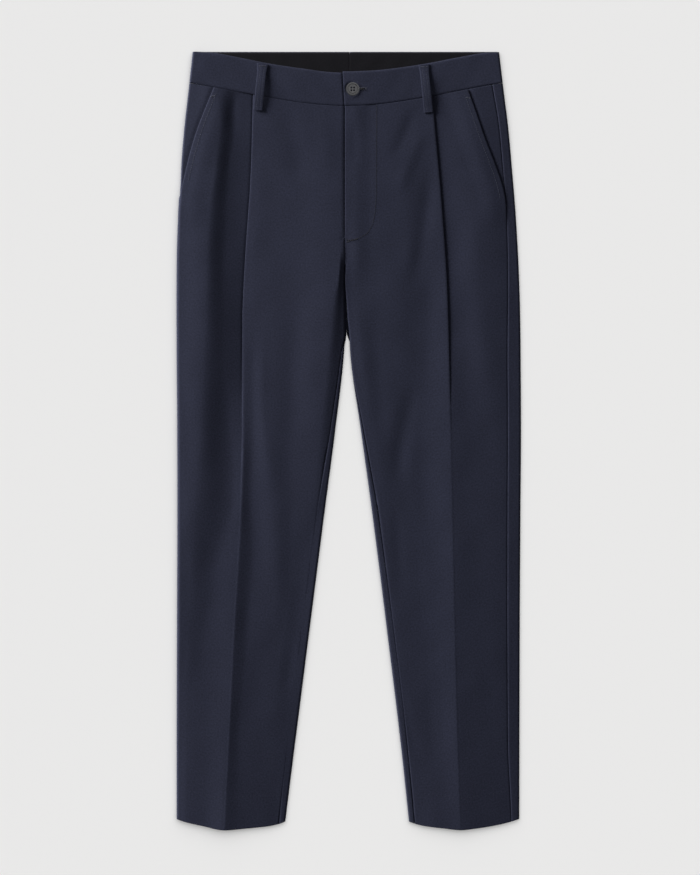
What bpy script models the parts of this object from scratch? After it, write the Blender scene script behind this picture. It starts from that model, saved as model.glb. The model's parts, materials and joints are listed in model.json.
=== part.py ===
"""Chino trousers lying flat on a table, front up, built from the pieces that are cut and sewn.

Frame: +X runs to the wearer's left, +Y to the waist, +Z up from the table. The origin is on the
table, under the middle of the garment. The sizes below are millimetres. "down" is measured along
the garment from the top of the back waistband to the hem, and "lateral" outward from the centre
line, on the wearer's right and left alike. Heights are those of the middle of the cloth.
"""

import math
from collections import namedtuple

import bmesh
import bpy
import numpy as np

MM = 0.001
LENGTH = 1051.0
WALL = 1.1
BAND_WALL = 1.5
FACING_WALL = 1.0
LOOP_WALL = 1.2
SEAM_GAP = 0.3
LAYER = WALL + 0.4
BAND_LAYER = BAND_WALL + SEAM_GAP

# Each folded edge is a half circle of cloth between the lying layer and the layer above it.
FOLD_RADIUS = 2.0
QUARTER_TURN = FOLD_RADIUS * math.pi / 2
LYING_HEIGHT = WALL / 2
FOLD_TOP = LYING_HEIGHT + 2 * FOLD_RADIUS

# The upper layer sinks this far below the outer fold on its flank, and below the inner fold.
FLANK_DROP = 0.2
INNER_DROP = 0.1

# The back belt loops lift the waist off the table, down to the ends of the loops.
WAIST_LIFT = LOOP_WALL + SEAM_GAP
LIFT_ENDS_DOWN = (86.0, 165.0)

CENTRE_FRONT_X = -5.3
CENTRE_BACK_X = 0.8
CROTCH_DOWN = 284.0
CROTCH_TIGHTNESS = 0.68
CROTCH_ROUNDS_OUT_DOWN = 330.0
CROTCH_GAP_DOWN = (315.0, 385.0)
CROTCH_SPREAD = 1.2
CROTCH_SPREAD_DOWN = (228.0, 258.0)
FLY_END_DOWN = 254.0
FLY_UNDERLAP = 8.0
FLY_EASE = (12.0, 36.0)

POCKET_FACING_UNDERLAP = 12.0
POCKET_EASE = (14.0, 40.0)
POCKET_RUNOUT = 12.0
TURN_UNDER = 6.0

PLEAT_TURN = LAYER / 2
PLEAT_OPEN_OVER = 2.0
PLEAT_LEAN = 0.08

# A front panel's columns: lengths of cloth from its outer edge, then shares of the way to the
# pleat, then shares of the way from the pleat to its inner edge.
SIDE_SPREAD = (0.0, 2.9, 4.4, 6.0, 7.6, 9.2, 16.0)
OUTER_SHARES = (0.3, 0.6, 0.85)
INNER_SHARES = (0.08, 0.3, 0.55, 0.75, 0.86, 0.93, 1.0)

# How far the columns beside a back panel's folds reach under the leg.
OUTER_REACH = 16.0
INNER_REACH = 24.0

BAND_DEPTH = 42.0
BAND_DEPTH_BACK = 45.0
BACK_SEAM_SLACK = 0.5
BAND_UNDERLAP_X = 32.0
BAND_OVERLAP_X = -8.0
BAND_EASE_X = (44.0, 66.0)
BAND_STEPS = (-16, 0, 18, 32, 44, 55, 66, 85, 108, 128, 147, 168, 190)
BAND_FRONT_HEIGHT = 6.3
BAND_BACK_HEIGHT = WAIST_LIFT + BAND_WALL / 2
FACING_HEIGHT = WAIST_LIFT + BAND_WALL + SEAM_GAP + FACING_WALL / 2
FACING_DOWN = (1.4, 20.0, 40.0)
FACING_END_INSET = 9.0

LOOP_WIDTH = 12.0
LOOP_ARCH = 1.1
LOOP_RISE = 0.9
LOOP_RISE_SHARES = (0.45, 0.8)
LOOP_STEPS = 8

ZIP_TAPE_WIDTH = 26.0
ZIP_TAPE_WALL = 0.9
ZIP_CHAIN_WIDTH = 5.0
ZIP_CHAIN_WALL = 1.6
ZIP_DROP = 2.0
ZIP_END = 4.0
ZIP_DOWN = (82.0, 244.0)
ZIP_X = 2.0

BUTTON_X = 5.2
BUTTON_DOWN = 51.2
BUTTON_RADIUS = 9.2
BUTTON_THICKNESS = 3.2
BUTTON_HOLE_RADIUS = 1.1
BUTTON_HOLE_SPACING = 2.0

Outline = namedtuple("Outline", "down outer inner")
Line = namedtuple("Line", "down lateral")
Inset = namedtuple("Inset", "down arc")
Edge = namedtuple("Edge", "lateral down")
Relief = namedtuple("Relief", "down trough under step overlap centre")
Loop = namedtuple("Loop", "name top_x top_down bottom_x bottom_down")
Turning = namedtuple("Turning", "radius height")

RIGHT_OUTLINE = (
    Outline(0, 211.0, 3.5),
    Outline(40, 215.3, 3.5),
    Outline(105, 222.5, 3.5),
    Outline(160, 227.1, 3.5),
    Outline(215, 230.5, 3.5),
    Outline(285, 232.6, 3.5),
    Outline(345, 232.9, 3.5),
    Outline(382, 232.8, 3.5),
    Outline(403, 232.7, 6.3),
    Outline(511, 231.9, 18.4),
    Outline(619, 231.7, 32.5),
    Outline(781, 232.2, 53.1),
    Outline(943, 232.7, 73.8),
    Outline(1051, 232.7, 87.3),
)
LEFT_OUTLINE = (
    Outline(0, 203.0, -3.0),
    Outline(40, 207.6, -3.0),
    Outline(105, 215.6, -3.0),
    Outline(160, 220.6, -3.0),
    Outline(215, 225.1, -3.0),
    Outline(285, 229.2, -3.0),
    Outline(345, 231.3, -3.0),
    Outline(382, 231.9, -2.8),
    Outline(403, 232.1, 0.1),
    Outline(511, 232.7, 16.2),
    Outline(619, 231.9, 31.0),
    Outline(781, 230.9, 51.4),
    Outline(943, 230.5, 71.0),
    Outline(1051, 230.2, 82.3),
)

# The pleat's folded edge, which becomes the pressed crease lower down.
RIGHT_CREASE = (
    Line(60, 129.0),
    Line(160, 131.9),
    Line(285, 140.1),
    Line(362, 143.4),
    Line(524, 143.6),
    Line(632, 146.7),
    Line(784, 155.4),
    Line(916, 161.9),
    Line(1051, 168.5),
)
LEFT_CREASE = (
    Line(60, 112.4),
    Line(106, 116.4),
    Line(188, 123.8),
    Line(319, 132.7),
    Line(420, 135.7),
    Line(543, 138.5),
    Line(784, 143.4),
    Line(916, 146.6),
    Line(1051, 151.2),
)

# Where the front panel's outer edge lies, as a length of cloth from the outermost point of the
# fold: the pocket's slant first, then the side seam, which is under the leg where it is negative.
RIGHT_SIDE_EDGE = (
    Inset(44, 35.8),
    Inset(119, 15.6),
    Inset(180, 5.2),
    Inset(192, 3.6),
    Inset(204, -2.0),
    Inset(216, -TURN_UNDER),
    Inset(1051, -TURN_UNDER),
)
LEFT_SIDE_EDGE = (
    Inset(46, 50.0),
    Inset(106, 36.6),
    Inset(207, 13.3),
    Inset(222, 13.6),
    Inset(430, 19.2),
    Inset(929, 16.9),
    Inset(1012, 13.0),
    Inset(1051, 11.2),
)
RIGHT_SIDE_SEAM = (
    Inset(44, -TURN_UNDER),
    Inset(1051, -TURN_UNDER),
)
LEFT_SIDE_SEAM = (
    Inset(44, 15.2),
    Inset(106, 13.1),
    Inset(207, 13.0),
    Inset(222, 13.3),
    Inset(430, 18.9),
    Inset(929, 16.6),
    Inset(1012, 12.7),
    Inset(1051, 10.9),
)

# The inseam's distance from the inner fold, along the cloth on the front face.
RIGHT_INSEAM = (
    Inset(284, 5.0),
    Inset(382, 5.2),
    Inset(515, 7.2),
    Inset(632, 13.2),
    Inset(800, 15.8),
    Inset(930, 12.0),
    Inset(1051, 8.5),
)
LEFT_INSEAM = (
    Inset(284, 5.0),
    Inset(430, 5.2),
    Inset(632, 8.8),
    Inset(870, 10.6),
    Inset(1051, 8.0),
)

# The waistband's upper edge in front, and its lower seam all round the front.
BAND_TOP = (
    Edge(-220, 0.0),
    Edge(-190, 1.2),
    Edge(-147, 8.6),
    Edge(-108, 16.4),
    Edge(-65, 22.9),
    Edge(-30, 27.0),
    Edge(0, 28.0),
    Edge(30, 26.6),
    Edge(65, 22.6),
    Edge(108, 15.9),
    Edge(147, 8.4),
    Edge(190, 1.4),
    Edge(220, 0.0),
)
BAND_SEAM = (
    Edge(-220, 41.0),
    Edge(-181, 48.0),
    Edge(-147, 54.2),
    Edge(-108, 61.4),
    Edge(-65, 68.4),
    Edge(-30, 71.8),
    Edge(0, 73.0),
    Edge(30, 71.6),
    Edge(65, 67.7),
    Edge(108, 60.6),
    Edge(147, 53.0),
    Edge(181, 46.4),
    Edge(220, 40.0),
)

# The hem dips to the crease; the table runs across one leg from the outer to the inner fold.
RIGHT_HEM = (
    Edge(-233, 1036.0),
    Edge(-221, 1040.0),
    Edge(-197, 1045.4),
    Edge(-168, 1050.8),
    Edge(-135, 1048.4),
    Edge(-109, 1045.8),
    Edge(-94, 1042.8),
    Edge(-86, 1039.5),
)
LEFT_HEM = (
    Edge(81, 1039.6),
    Edge(90, 1042.8),
    Edge(104, 1045.8),
    Edge(126, 1048.4),
    Edge(151, 1050.8),
    Edge(173, 1048.6),
    Edge(192, 1045.8),
    Edge(217, 1040.4),
    Edge(231, 1035.8),
)

# Heights of the upper layer across a leg: the trough beside the pleat, the cloth under the pleat,
# the step up to the pleat's edge, how far the pleat laps over (negative where it has opened into
# a slope), and the middle of the inner half.
RELIEF = (
    Relief(40, 3.0, 2.4, 3.0, 18.0, 4.9),
    Relief(150, 2.5, 2.4, 3.0, 12.0, 4.8),
    Relief(300, 2.4, 2.4, 3.0, 5.0, 4.6),
    Relief(380, 2.6, 2.7, 2.7, 0.6, 4.3),
    Relief(460, 3.2, 3.4, 2.0, -6.0, 4.0),
    Relief(560, 3.5, 3.8, 1.6, -10.0, 3.6),
    Relief(750, 3.7, 4.0, 1.4, -12.0, 3.4),
    Relief(1051, 3.8, 4.0, 1.4, -12.0, 3.4),
)

PANEL_ROWS = (
    60, 80, 105, 135, 160, 180, 192, 204, 216, 236, 258, 284, 315, 350,
    385, 430, 490, 560, 640, 720, 800, 880, 960, 1012, 1046,
)
FRONT_LOOPS = (
    Loop("belt_loop_front_right", -116.4, 17.5, -122.7, 79.5),
    Loop("belt_loop_front_left", 101.0, 18.5, 107.5, 82.5),
)
BACK_LOOPS = (
    Loop("belt_loop_back_right", -112.0, 3.0, -112.0, 80.0),
    Loop("belt_loop_back_left", 106.0, 3.0, 106.0, 80.0),
    Loop("belt_loop_back_centre", CENTRE_BACK_X, 3.0, CENTRE_BACK_X, 80.0),
)

# The button's turned outline, as shares of its radius and thickness, from the well to the back.
BUTTON_PROFILE = (
    Turning(0.0, 0.62),
    Turning(0.5, 0.62),
    Turning(0.62, 0.72),
    Turning(0.71, 0.94),
    Turning(0.86, 1.0),
    Turning(0.97, 0.88),
    Turning(1.0, 0.62),
    Turning(0.9, 0.2),
    Turning(0.7, 0.0),
    Turning(0.0, 0.0),
)

SEAM_ROW, SEAM_FADES = 60.0, 165.0
HEM_ROW, HEM_STARTS = 1046.0, 940.0

Leg = namedtuple(
    "Leg", "name side outline crease side_edge side_seam inseam hem front_edge pocket_end"
)
RIGHT_LEG = Leg(
    "right", -1, RIGHT_OUTLINE, RIGHT_CREASE, RIGHT_SIDE_EDGE, RIGHT_SIDE_SEAM, RIGHT_INSEAM,
    RIGHT_HEM, -CENTRE_FRONT_X + SEAM_GAP / 2, 180.0,
)
LEFT_LEG = Leg(
    "left", 1, LEFT_OUTLINE, LEFT_CREASE, LEFT_SIDE_EDGE, LEFT_SIDE_SEAM, LEFT_INSEAM,
    LEFT_HEM, CENTRE_FRONT_X + SEAM_GAP / 2, 200.0,
)


def follow(table, column, at):
    """A column's value between the rows of a table, on a smooth curve through them."""
    places = np.array([row[0] for row in table], float)
    values = np.array([getattr(row, column) for row in table], float)
    rises = np.diff(values) / np.diff(places)
    # The slope at a row is the harmonic mean of its neighbours', so the curve never overshoots.
    turning = rises[:-1] * rises[1:] <= 0
    sums = np.where(turning, 1.0, rises[:-1] + rises[1:])
    inner_slopes = np.where(turning, 0.0, 2 * rises[:-1] * rises[1:] / sums)
    slopes = np.concatenate([rises[:1], inner_slopes, rises[-1:]])
    start = int(np.clip(np.searchsorted(places, at) - 1, 0, len(places) - 2))
    span = places[start + 1] - places[start]
    t = float(np.clip((at - places[start]) / span, 0, 1))
    return (
        values[start] * (1 + 2 * t) * (1 - t) ** 2
        + slopes[start] * span * t * (1 - t) ** 2
        + values[start + 1] * t * t * (3 - 2 * t)
        + slopes[start + 1] * span * t * t * (t - 1)
    )


def ease(value, start, end):
    """0 before start, 1 past end, and a smooth rise between them."""
    t = min(max((value - start) / (end - start), 0.0), 1.0)
    return t * t * (3 - 2 * t)


def curve_through(fraction, heights):
    """The height at a fraction of the way across, through evenly spaced heights, level past them."""
    rows = [Line(index, height) for index, height in enumerate(heights)]
    return follow(rows, "lateral", fraction * (len(heights) - 1))


def lift(down):
    """How far the back loops hold the lying cloth off the table."""
    return WAIST_LIFT * (1 - ease(down, *LIFT_ENDS_DOWN))


def place(x, down, height):
    """A point of the garment, in metres."""
    return (x * MM, (LENGTH / 2 - down) * MM, height * MM)


def true_down(leg, row, x, deepest_seam):
    """The row's distance down at x, bent to the waistband's seam at the top and the hem below."""
    seam = min(follow(BAND_SEAM, "down", x), deepest_seam) + SEAM_GAP
    hem = follow(leg.hem, "down", x)
    from_seam = (seam - SEAM_ROW) * (1 - min(max((row - SEAM_ROW) / (SEAM_FADES - SEAM_ROW), 0), 1))
    from_hem = (hem - HEM_ROW) * min(max((row - HEM_STARTS) / (HEM_ROW - HEM_STARTS), 0), 1)
    return row + from_seam + from_hem


def pleat_points(leg, down):
    """The six turns of the pleat as (lateral, height), from the outer to the inner side."""
    crease = follow(leg.crease, "lateral", down)
    under, step, overlap = (follow(RELIEF, name, down) for name in ("under", "step", "overlap"))
    closed = min(max(overlap / PLEAT_OPEN_OVER, -1), 1)
    lean = PLEAT_LEAN * (1 - closed)
    inner_turn = crease - overlap
    return (
        (inner_turn + PLEAT_TURN, under),
        (inner_turn, under + step * 0.25),
        (inner_turn + PLEAT_TURN * closed, under + step * (0.5 - lean)),
        (crease - PLEAT_TURN * closed, under + step * (0.5 + lean)),
        (crease, under + step * 0.75),
        (crease - PLEAT_TURN, under + step),
    )


def outer_height(leg, down, lateral):
    """Height of the upper layer from the outer fold to where it goes under the pleat."""
    outer = follow(leg.outline, "outer", down) - WALL / 2 - FOLD_RADIUS
    under_lateral, under = pleat_points(leg, down)[0]
    fraction = (outer - lateral) / (outer - under_lateral)
    trough = follow(RELIEF, "trough", down)
    return curve_through(fraction, (FOLD_TOP, FOLD_TOP - FLANK_DROP, trough, under))


def inner_height(leg, down, lateral):
    """Height of the upper layer from the pleat's edge to the inner fold or the centre line."""
    inner = inner_edge(leg, down) + WALL / 2 + FOLD_RADIUS
    edge_lateral, over = pleat_points(leg, down)[-1]
    fraction = (edge_lateral - lateral) / (edge_lateral - inner)
    centre = follow(RELIEF, "centre", down)
    return curve_through(fraction, (over, (over + centre) / 2, centre, FOLD_TOP - INNER_DROP))


def inner_edge(leg, down):
    """The leg's inner folded edge, or the centre line above the crotch."""
    return follow(leg.outline, "inner", down)


def round_outer_fold(leg, down, arc):
    """(lateral, height) of the cloth at this length from the outermost point, + over, - under."""
    edge = follow(leg.outline, "outer", down) - WALL / 2
    if abs(arc) <= QUARTER_TURN:
        angle = arc / FOLD_RADIUS
        lateral = edge - FOLD_RADIUS + FOLD_RADIUS * math.cos(angle)
        return lateral, LYING_HEIGHT + FOLD_RADIUS + FOLD_RADIUS * math.sin(angle)
    lateral = edge - FOLD_RADIUS - (abs(arc) - QUARTER_TURN)
    return lateral, outer_height(leg, down, lateral) if arc > 0 else LYING_HEIGHT


def inner_radius(down):
    """The inner fold is tighter at the crotch, where it starts under the front."""
    opened = ease(down, CROTCH_DOWN, CROTCH_ROUNDS_OUT_DOWN)
    return FOLD_RADIUS * (CROTCH_TIGHTNESS + (1 - CROTCH_TIGHTNESS) * opened)


def round_inner_fold(leg, down, arc):
    """(lateral, height) of the cloth at this length from the innermost point, + over, - under."""
    edge = inner_edge(leg, down) + WALL / 2
    radius = inner_radius(down)
    quarter = radius * math.pi / 2
    if abs(arc) <= quarter:
        angle = arc / radius
        lateral = edge + radius - radius * math.cos(angle)
        return lateral, LYING_HEIGHT + radius + radius * math.sin(angle)
    lateral = edge + radius + (abs(arc) - quarter)
    if arc < 0:
        return lateral, LYING_HEIGHT
    return lateral, inner_height(leg, down, lateral) - 2 * (FOLD_RADIUS - radius)


def settle(leg, row, section, deepest_seam):
    """One row of a panel, each point where the bent row crosses its column of the section."""
    settled = []
    for index, (lateral, _) in enumerate(section(leg, row)):
        down = true_down(leg, row, leg.side * lateral, deepest_seam)
        lateral, height = section(leg, down)[index]
        down = true_down(leg, row, leg.side * lateral, deepest_seam)
        settled.append(place(leg.side * lateral, down, height + lift(down)))
    return settled


def front_inner_edge(leg, down):
    """Lateral of a front panel's inner edge: the fly, the crotch seam, then the inseam."""
    if down >= CROTCH_DOWN:
        gap = SEAM_GAP * (2 - ease(down, *CROTCH_GAP_DOWN))
        return round_inner_fold(leg, down, follow(leg.inseam, "arc", down) + gap)[0]
    underlap = FLY_UNDERLAP if leg.side < 0 and down < FLY_END_DOWN else 0.0
    return leg.front_edge - underlap


def front_section(leg, down):
    """A front panel across: pocket edge or side seam, pleat, then on to the inner edge."""
    start = follow(leg.side_edge, "arc", down)
    points = [round_outer_fold(leg, down, start + step) for step in SIDE_SPREAD]
    last_fixed = points[-1][0]
    pleat = pleat_points(leg, down)
    for share in OUTER_SHARES:
        lateral = last_fixed * (1 - share) + pleat[0][0] * share
        points.append((lateral, outer_height(leg, down, lateral)))
    # Over the pocket facing the panel lies one layer higher, down to the end of the pocket.
    over_pocket = 1 - ease(down, leg.pocket_end, leg.pocket_end + POCKET_RUNOUT)
    raised = []
    for index, (lateral, height) in enumerate(points):
        on_side = index < len(SIDE_SPREAD)
        from_edge = SIDE_SPREAD[index] if on_side else points[0][0] - lateral
        share = over_pocket * (1 - ease(from_edge, *POCKET_EASE))
        raised.append((lateral, height + LAYER * share))
    raised.extend(pleat)
    inner = front_inner_edge(leg, down)
    over_fly = (leg.side > 0) * (1 - ease(down, FLY_END_DOWN, CROTCH_DOWN))
    for share in INNER_SHARES:
        lateral = pleat[-1][0] * (1 - share) + inner * share
        from_fly = lateral - inner
        height = inner_height(leg, down, lateral)
        raised.append((lateral, height + LAYER * over_fly * (1 - ease(from_fly, *FLY_EASE))))
    return raised


def back_section(leg, down):
    """A back panel across: from the side seam, under the leg, and up to the inseam."""
    seam = follow(leg.side_seam, "arc", down)
    if leg.side > 0:
        arcs = [seam, (seam + QUARTER_TURN) / 2, QUARTER_TURN, QUARTER_TURN / 2, 0]
        arcs += [-QUARTER_TURN / 2, -QUARTER_TURN, -OUTER_REACH]
    else:
        arcs = [seam - SEAM_GAP, -OUTER_REACH]
    points = [round_outer_fold(leg, down, arc) for arc in arcs]
    inseam = follow(leg.inseam, "arc", down)
    quarter = inner_radius(down) * math.pi / 2
    wraps = [-INNER_REACH, -quarter, -quarter / 2, 0, quarter / 2, quarter, inseam]
    middle = (points[-1][0] + round_inner_fold(leg, down, -INNER_REACH)[0]) / 2
    points.append((middle, LYING_HEIGHT))
    if down >= CROTCH_DOWN:
        return points + [round_inner_fold(leg, down, arc) for arc in wraps]
    # Above the crotch the cloth of the inner fold lies flat and ends at the centre back seam.
    spread = CROTCH_SPREAD * ease(down, *CROTCH_SPREAD_DOWN)
    centre_back = leg.side * CENTRE_BACK_X + SEAM_GAP / 2 + spread
    return points + [(centre_back + wraps[-1] - arc, LYING_HEIGHT) for arc in wraps]


def facing_section(leg, down):
    """The cloth behind a slant pocket: from the side seam to under the front panel."""
    seam = follow(leg.side_seam, "arc", down) + (SEAM_GAP if leg.side > 0 else 0)
    slant = follow(leg.side_edge, "arc", down)
    end = slant + POCKET_FACING_UNDERLAP
    if leg.side < 0:
        arcs = [seam, -QUARTER_TURN, -QUARTER_TURN / 2, 0, QUARTER_TURN / 2, QUARTER_TURN]
    else:
        arcs = [seam]
    first = arcs[-1]
    arcs += [first + (end - first) * share for share in (0.25, 0.5, 0.75, 1.0)]
    return [round_outer_fold(leg, down, arc) for arc in arcs]


def panel(leg, section, rows=PANEL_ROWS, deepest_seam=LENGTH):
    """Rows of points for a panel of one leg."""
    return [settle(leg, row, section, deepest_seam) for row in rows]


def band_path(side):
    """The waistband half across as (lateral, height, front): the front, the side fold, the back."""
    start = BAND_OVERLAP_X if side > 0 else -BAND_UNDERLAP_X
    radius = (BAND_FRONT_HEIGHT - BAND_BACK_HEIGHT) / 2
    path = []
    for lateral in [start] + [step for step in BAND_STEPS if step > start]:
        raise_by = BAND_LAYER * (1 - ease(lateral, *BAND_EASE_X)) if side > 0 else 0.0
        path.append((lateral, BAND_FRONT_HEIGHT + raise_by, "front"))
    for turn in range(5):
        angle = math.pi / 2 - turn * math.pi / 4
        out = radius * math.cos(angle)
        path.append((out, BAND_BACK_HEIGHT + radius + radius * math.sin(angle), "fold"))
    path.append((BAND_STEPS[-1], BAND_BACK_HEIGHT, "back"))
    path.append((side * CENTRE_BACK_X + SEAM_GAP / 2, BAND_BACK_HEIGHT, "back"))
    return path


def band_points(leg):
    """Rows of points for a waistband half, from its upper edge to its seam."""
    radius = (BAND_FRONT_HEIGHT - BAND_BACK_HEIGHT) / 2
    rows = []
    for share in (0.0, 0.5, 1.0):
        row = []
        for lateral, height, where in band_path(leg.side):
            if where == "fold":
                corner = follow(leg.outline, "outer", share * BAND_DEPTH) - BAND_WALL / 2
                lateral = corner - radius + lateral
            x = leg.side * lateral
            top = follow(BAND_TOP, "down", x)
            seam = follow(BAND_SEAM, "down", x)
            if where == "back":
                top, seam = 0.0, min(seam, BAND_DEPTH_BACK) - BACK_SEAM_SLACK
            row.append(place(x, top + (seam - top) * share, height))
        rows.append(row)
    return rows


def facing_points(leg):
    """Rows of points for the black facing of one half of the back waistband."""
    start = leg.side * CENTRE_BACK_X + SEAM_GAP / 2
    end = follow(leg.outline, "outer", 0) - FACING_END_INSET
    rows = []
    for down in FACING_DOWN:
        laterals = [start + (end - start) * share for share in (0, 0.35, 0.7, 1)]
        rows.append([place(leg.side * lateral, down, FACING_HEIGHT) for lateral in laterals])
    return rows


def loop_points(loop, heights):
    """Rows of points for a belt loop, one for each of its heights from the top end down."""
    rows = []
    for index, height in enumerate(heights):
        share = index / (len(heights) - 1)
        x = loop.top_x + (loop.bottom_x - loop.top_x) * share
        down = loop.top_down + (loop.bottom_down - loop.top_down) * share
        rows.append([place(x + LOOP_WIDTH * across, down, height) for across in (-0.5, 0.0, 0.5)])
    return rows


def front_loop_heights():
    """A front loop lies on the waistband, arches over it, and ends on the front panel."""
    on_band = BAND_FRONT_HEIGHT + BAND_WALL / 2 + SEAM_GAP + LOOP_WALL / 2
    heights = []
    for index in range(LOOP_STEPS + 1):
        share = index / LOOP_STEPS
        rise = LOOP_RISE * ease(share, *LOOP_RISE_SHARES)
        heights.append(on_band + rise + LOOP_ARCH * math.sin(math.pi * share) ** 2)
    return heights


def make_material(name, colour, roughness, metallic=0.0):
    material = bpy.data.materials.new(name)
    material.use_nodes = True
    shader = material.node_tree.nodes["Principled BSDF"]
    shader.inputs["Base Color"].default_value = (*colour, 1.0)
    shader.inputs["Roughness"].default_value = roughness
    shader.inputs["Metallic"].default_value = metallic
    return material


def add_object(name, mesh, material, collection):
    thing = bpy.data.objects.new(name, mesh)
    mesh.materials.append(material)
    collection.objects.link(thing)
    return thing


def add_cloth(name, rows, wall, material, collection, even=True):
    """A piece of cloth: a grid laid on the rows of points, with Solidify for its wall."""
    columns = len(rows[0])
    grid = bmesh.new()
    bmesh.ops.create_grid(grid, x_segments=columns - 1, y_segments=len(rows) - 1, size=1.0)
    in_rows = sorted(grid.verts, key=lambda vert: (round(vert.co.y, 5), round(vert.co.x, 5)))
    for index, vert in enumerate(in_rows):
        vert.co = rows[index // columns][index % columns]
    mesh = bpy.data.meshes.new(name)
    grid.to_mesh(mesh)
    grid.free()
    mesh.shade_smooth()
    thing = add_object(name, mesh, material, collection)
    solidify = thing.modifiers.new("wall", "SOLIDIFY")
    solidify.thickness = wall * MM
    solidify.offset = 0.0
    solidify.use_even_offset = even
    solidify.use_quality_normals = True
    return thing


def add_boolean(target, other, operation):
    boolean = target.modifiers.new(other.name, "BOOLEAN")
    boolean.operation = operation
    boolean.object = other


def add_zip(material, parts, cutters):
    """The zip under the fly: a tape with its closed chain as a rib along the middle."""
    top, bottom = ZIP_DOWN
    x_offsets = (-ZIP_TAPE_WIDTH / 2, 0.0, ZIP_TAPE_WIDTH / 2)
    rows = []
    chain_rows = []
    for share in (0.0, 0.25, 0.5, 0.75, 1.0):
        down = top + (bottom - top) * share
        middle = front_centre_height(down) - ZIP_DROP
        rows.append([place(ZIP_X + offset, down, middle) for offset in x_offsets])
        half = ZIP_CHAIN_WIDTH / 2
        along = down + ZIP_END * (1 - 2 * share)
        chain_rows.append([place(ZIP_X + offset, along, middle) for offset in (-half, half)])
    tape = add_cloth("fly_zip", rows, ZIP_TAPE_WALL, material, parts)
    chain = add_cloth("zip_chain", chain_rows, ZIP_CHAIN_WALL, material, cutters)
    hide_helper(chain)
    add_boolean(tape, chain, "UNION")


def front_centre_height(down):
    """Height of the right front panel beside the fly."""
    lateral = RIGHT_LEG.front_edge
    return inner_height(RIGHT_LEG, down, lateral) + lift(down)


def hide_helper(thing):
    thing.hide_render = True
    thing.display_type = "WIRE"


def add_button(material, parts, cutters):
    """The waist button: a turned disc with a raised rim and four holes."""
    bottom = BAND_FRONT_HEIGHT + BAND_LAYER + BAND_WALL / 2 + SEAM_GAP
    across, up = BUTTON_RADIUS * MM, BUTTON_THICKNESS * MM
    outline = bmesh.new()
    verts = [outline.verts.new((row.radius * across, 0, row.height * up)) for row in BUTTON_PROFILE]
    for first, second in zip(verts, verts[1:]):
        outline.edges.new((first, second))
    mesh = bpy.data.meshes.new("button")
    outline.to_mesh(mesh)
    outline.free()
    button = add_object("button", mesh, material, parts)
    button.location = place(BUTTON_X, BUTTON_DOWN, bottom)
    screw = button.modifiers.new("turn", "SCREW")
    screw.steps = screw.render_steps = 32
    screw.use_merge_vertices = True
    screw.merge_threshold = 0.00001
    for index in range(4):
        angle = math.pi / 4 + index * math.pi / 2
        x = BUTTON_X + BUTTON_HOLE_SPACING * math.cos(angle)
        down = BUTTON_DOWN + BUTTON_HOLE_SPACING * math.sin(angle)
        hole = bmesh.new()
        bmesh.ops.create_cone(
            hole, cap_ends=True, segments=12, radius1=BUTTON_HOLE_RADIUS * MM,
            radius2=BUTTON_HOLE_RADIUS * MM, depth=BUTTON_THICKNESS * 3 * MM,
        )
        hole_mesh = bpy.data.meshes.new("thread_hole")
        hole.to_mesh(hole_mesh)
        hole.free()
        cutter = add_object(f"thread_hole_{index + 1}", hole_mesh, material, cutters)
        cutter.location = place(x, down, bottom)
        hide_helper(cutter)
        add_boolean(button, cutter, "DIFFERENCE")


def main():
    for thing in list(bpy.data.objects):
        bpy.data.objects.remove(thing, do_unlink=True)
    parts = bpy.data.collections.new("chino_trousers")
    cutters = bpy.data.collections.new("cutters")
    bpy.context.scene.collection.children.link(parts)
    bpy.context.scene.collection.children.link(cutters)

    twill = make_material("navy_twill", (0.023, 0.028, 0.045), 0.85)
    lining = make_material("black_facing", (0.010, 0.010, 0.013), 0.9)
    plastic = make_material("grey_button", (0.035, 0.035, 0.04), 0.45)
    tape = make_material("zip_tape", (0.02, 0.022, 0.03), 0.7)

    for leg in (RIGHT_LEG, LEFT_LEG):
        name = leg.name
        pocket_rows = [row for row in PANEL_ROWS if row <= leg.pocket_end]
        back = panel(leg, back_section, deepest_seam=BAND_DEPTH_BACK)
        add_cloth(f"front_{name}", panel(leg, front_section), WALL, twill, parts)
        add_cloth(f"back_{name}", back, WALL, twill, parts, even=False)
        pocket = panel(leg, facing_section, pocket_rows)
        add_cloth(f"pocket_facing_{name}", pocket, WALL, twill, parts)
        add_cloth(f"waistband_{name}", band_points(leg), BAND_WALL, twill, parts)
        facing = facing_points(leg)
        add_cloth(f"waistband_facing_{name}", facing, FACING_WALL, lining, parts)

    arched = front_loop_heights()
    flat = [LOOP_WALL / 2] * 2
    for loop in FRONT_LOOPS:
        add_cloth(loop.name, loop_points(loop, arched), LOOP_WALL, twill, parts)
    for loop in BACK_LOOPS:
        add_cloth(loop.name, loop_points(loop, flat), LOOP_WALL, twill, parts)

    add_zip(tape, parts, cutters)
    add_button(plastic, parts, cutters)


main()
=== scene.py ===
"""Chino trousers lying flat, front up: the fine shape and the finish of every piece.

+X runs to the wearer's left, +Y to the waist and +Z up from the table, with the origin on the
table under the middle of the garment. Sizes are millimetres unless a name says otherwise. "down"
is measured along the garment from the top of the back waistband to the hem, and "lateral" outward
from the centre line on either side. Heights are those of the middle of the cloth.
"""

import json
import logging
import math
from dataclasses import dataclass, field
from enum import Enum
from typing import Callable, Iterable, Sequence

import bmesh
import bpy
import numpy as np
from mathutils import Matrix, Vector
from mathutils.bvhtree import BVHTree

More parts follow.
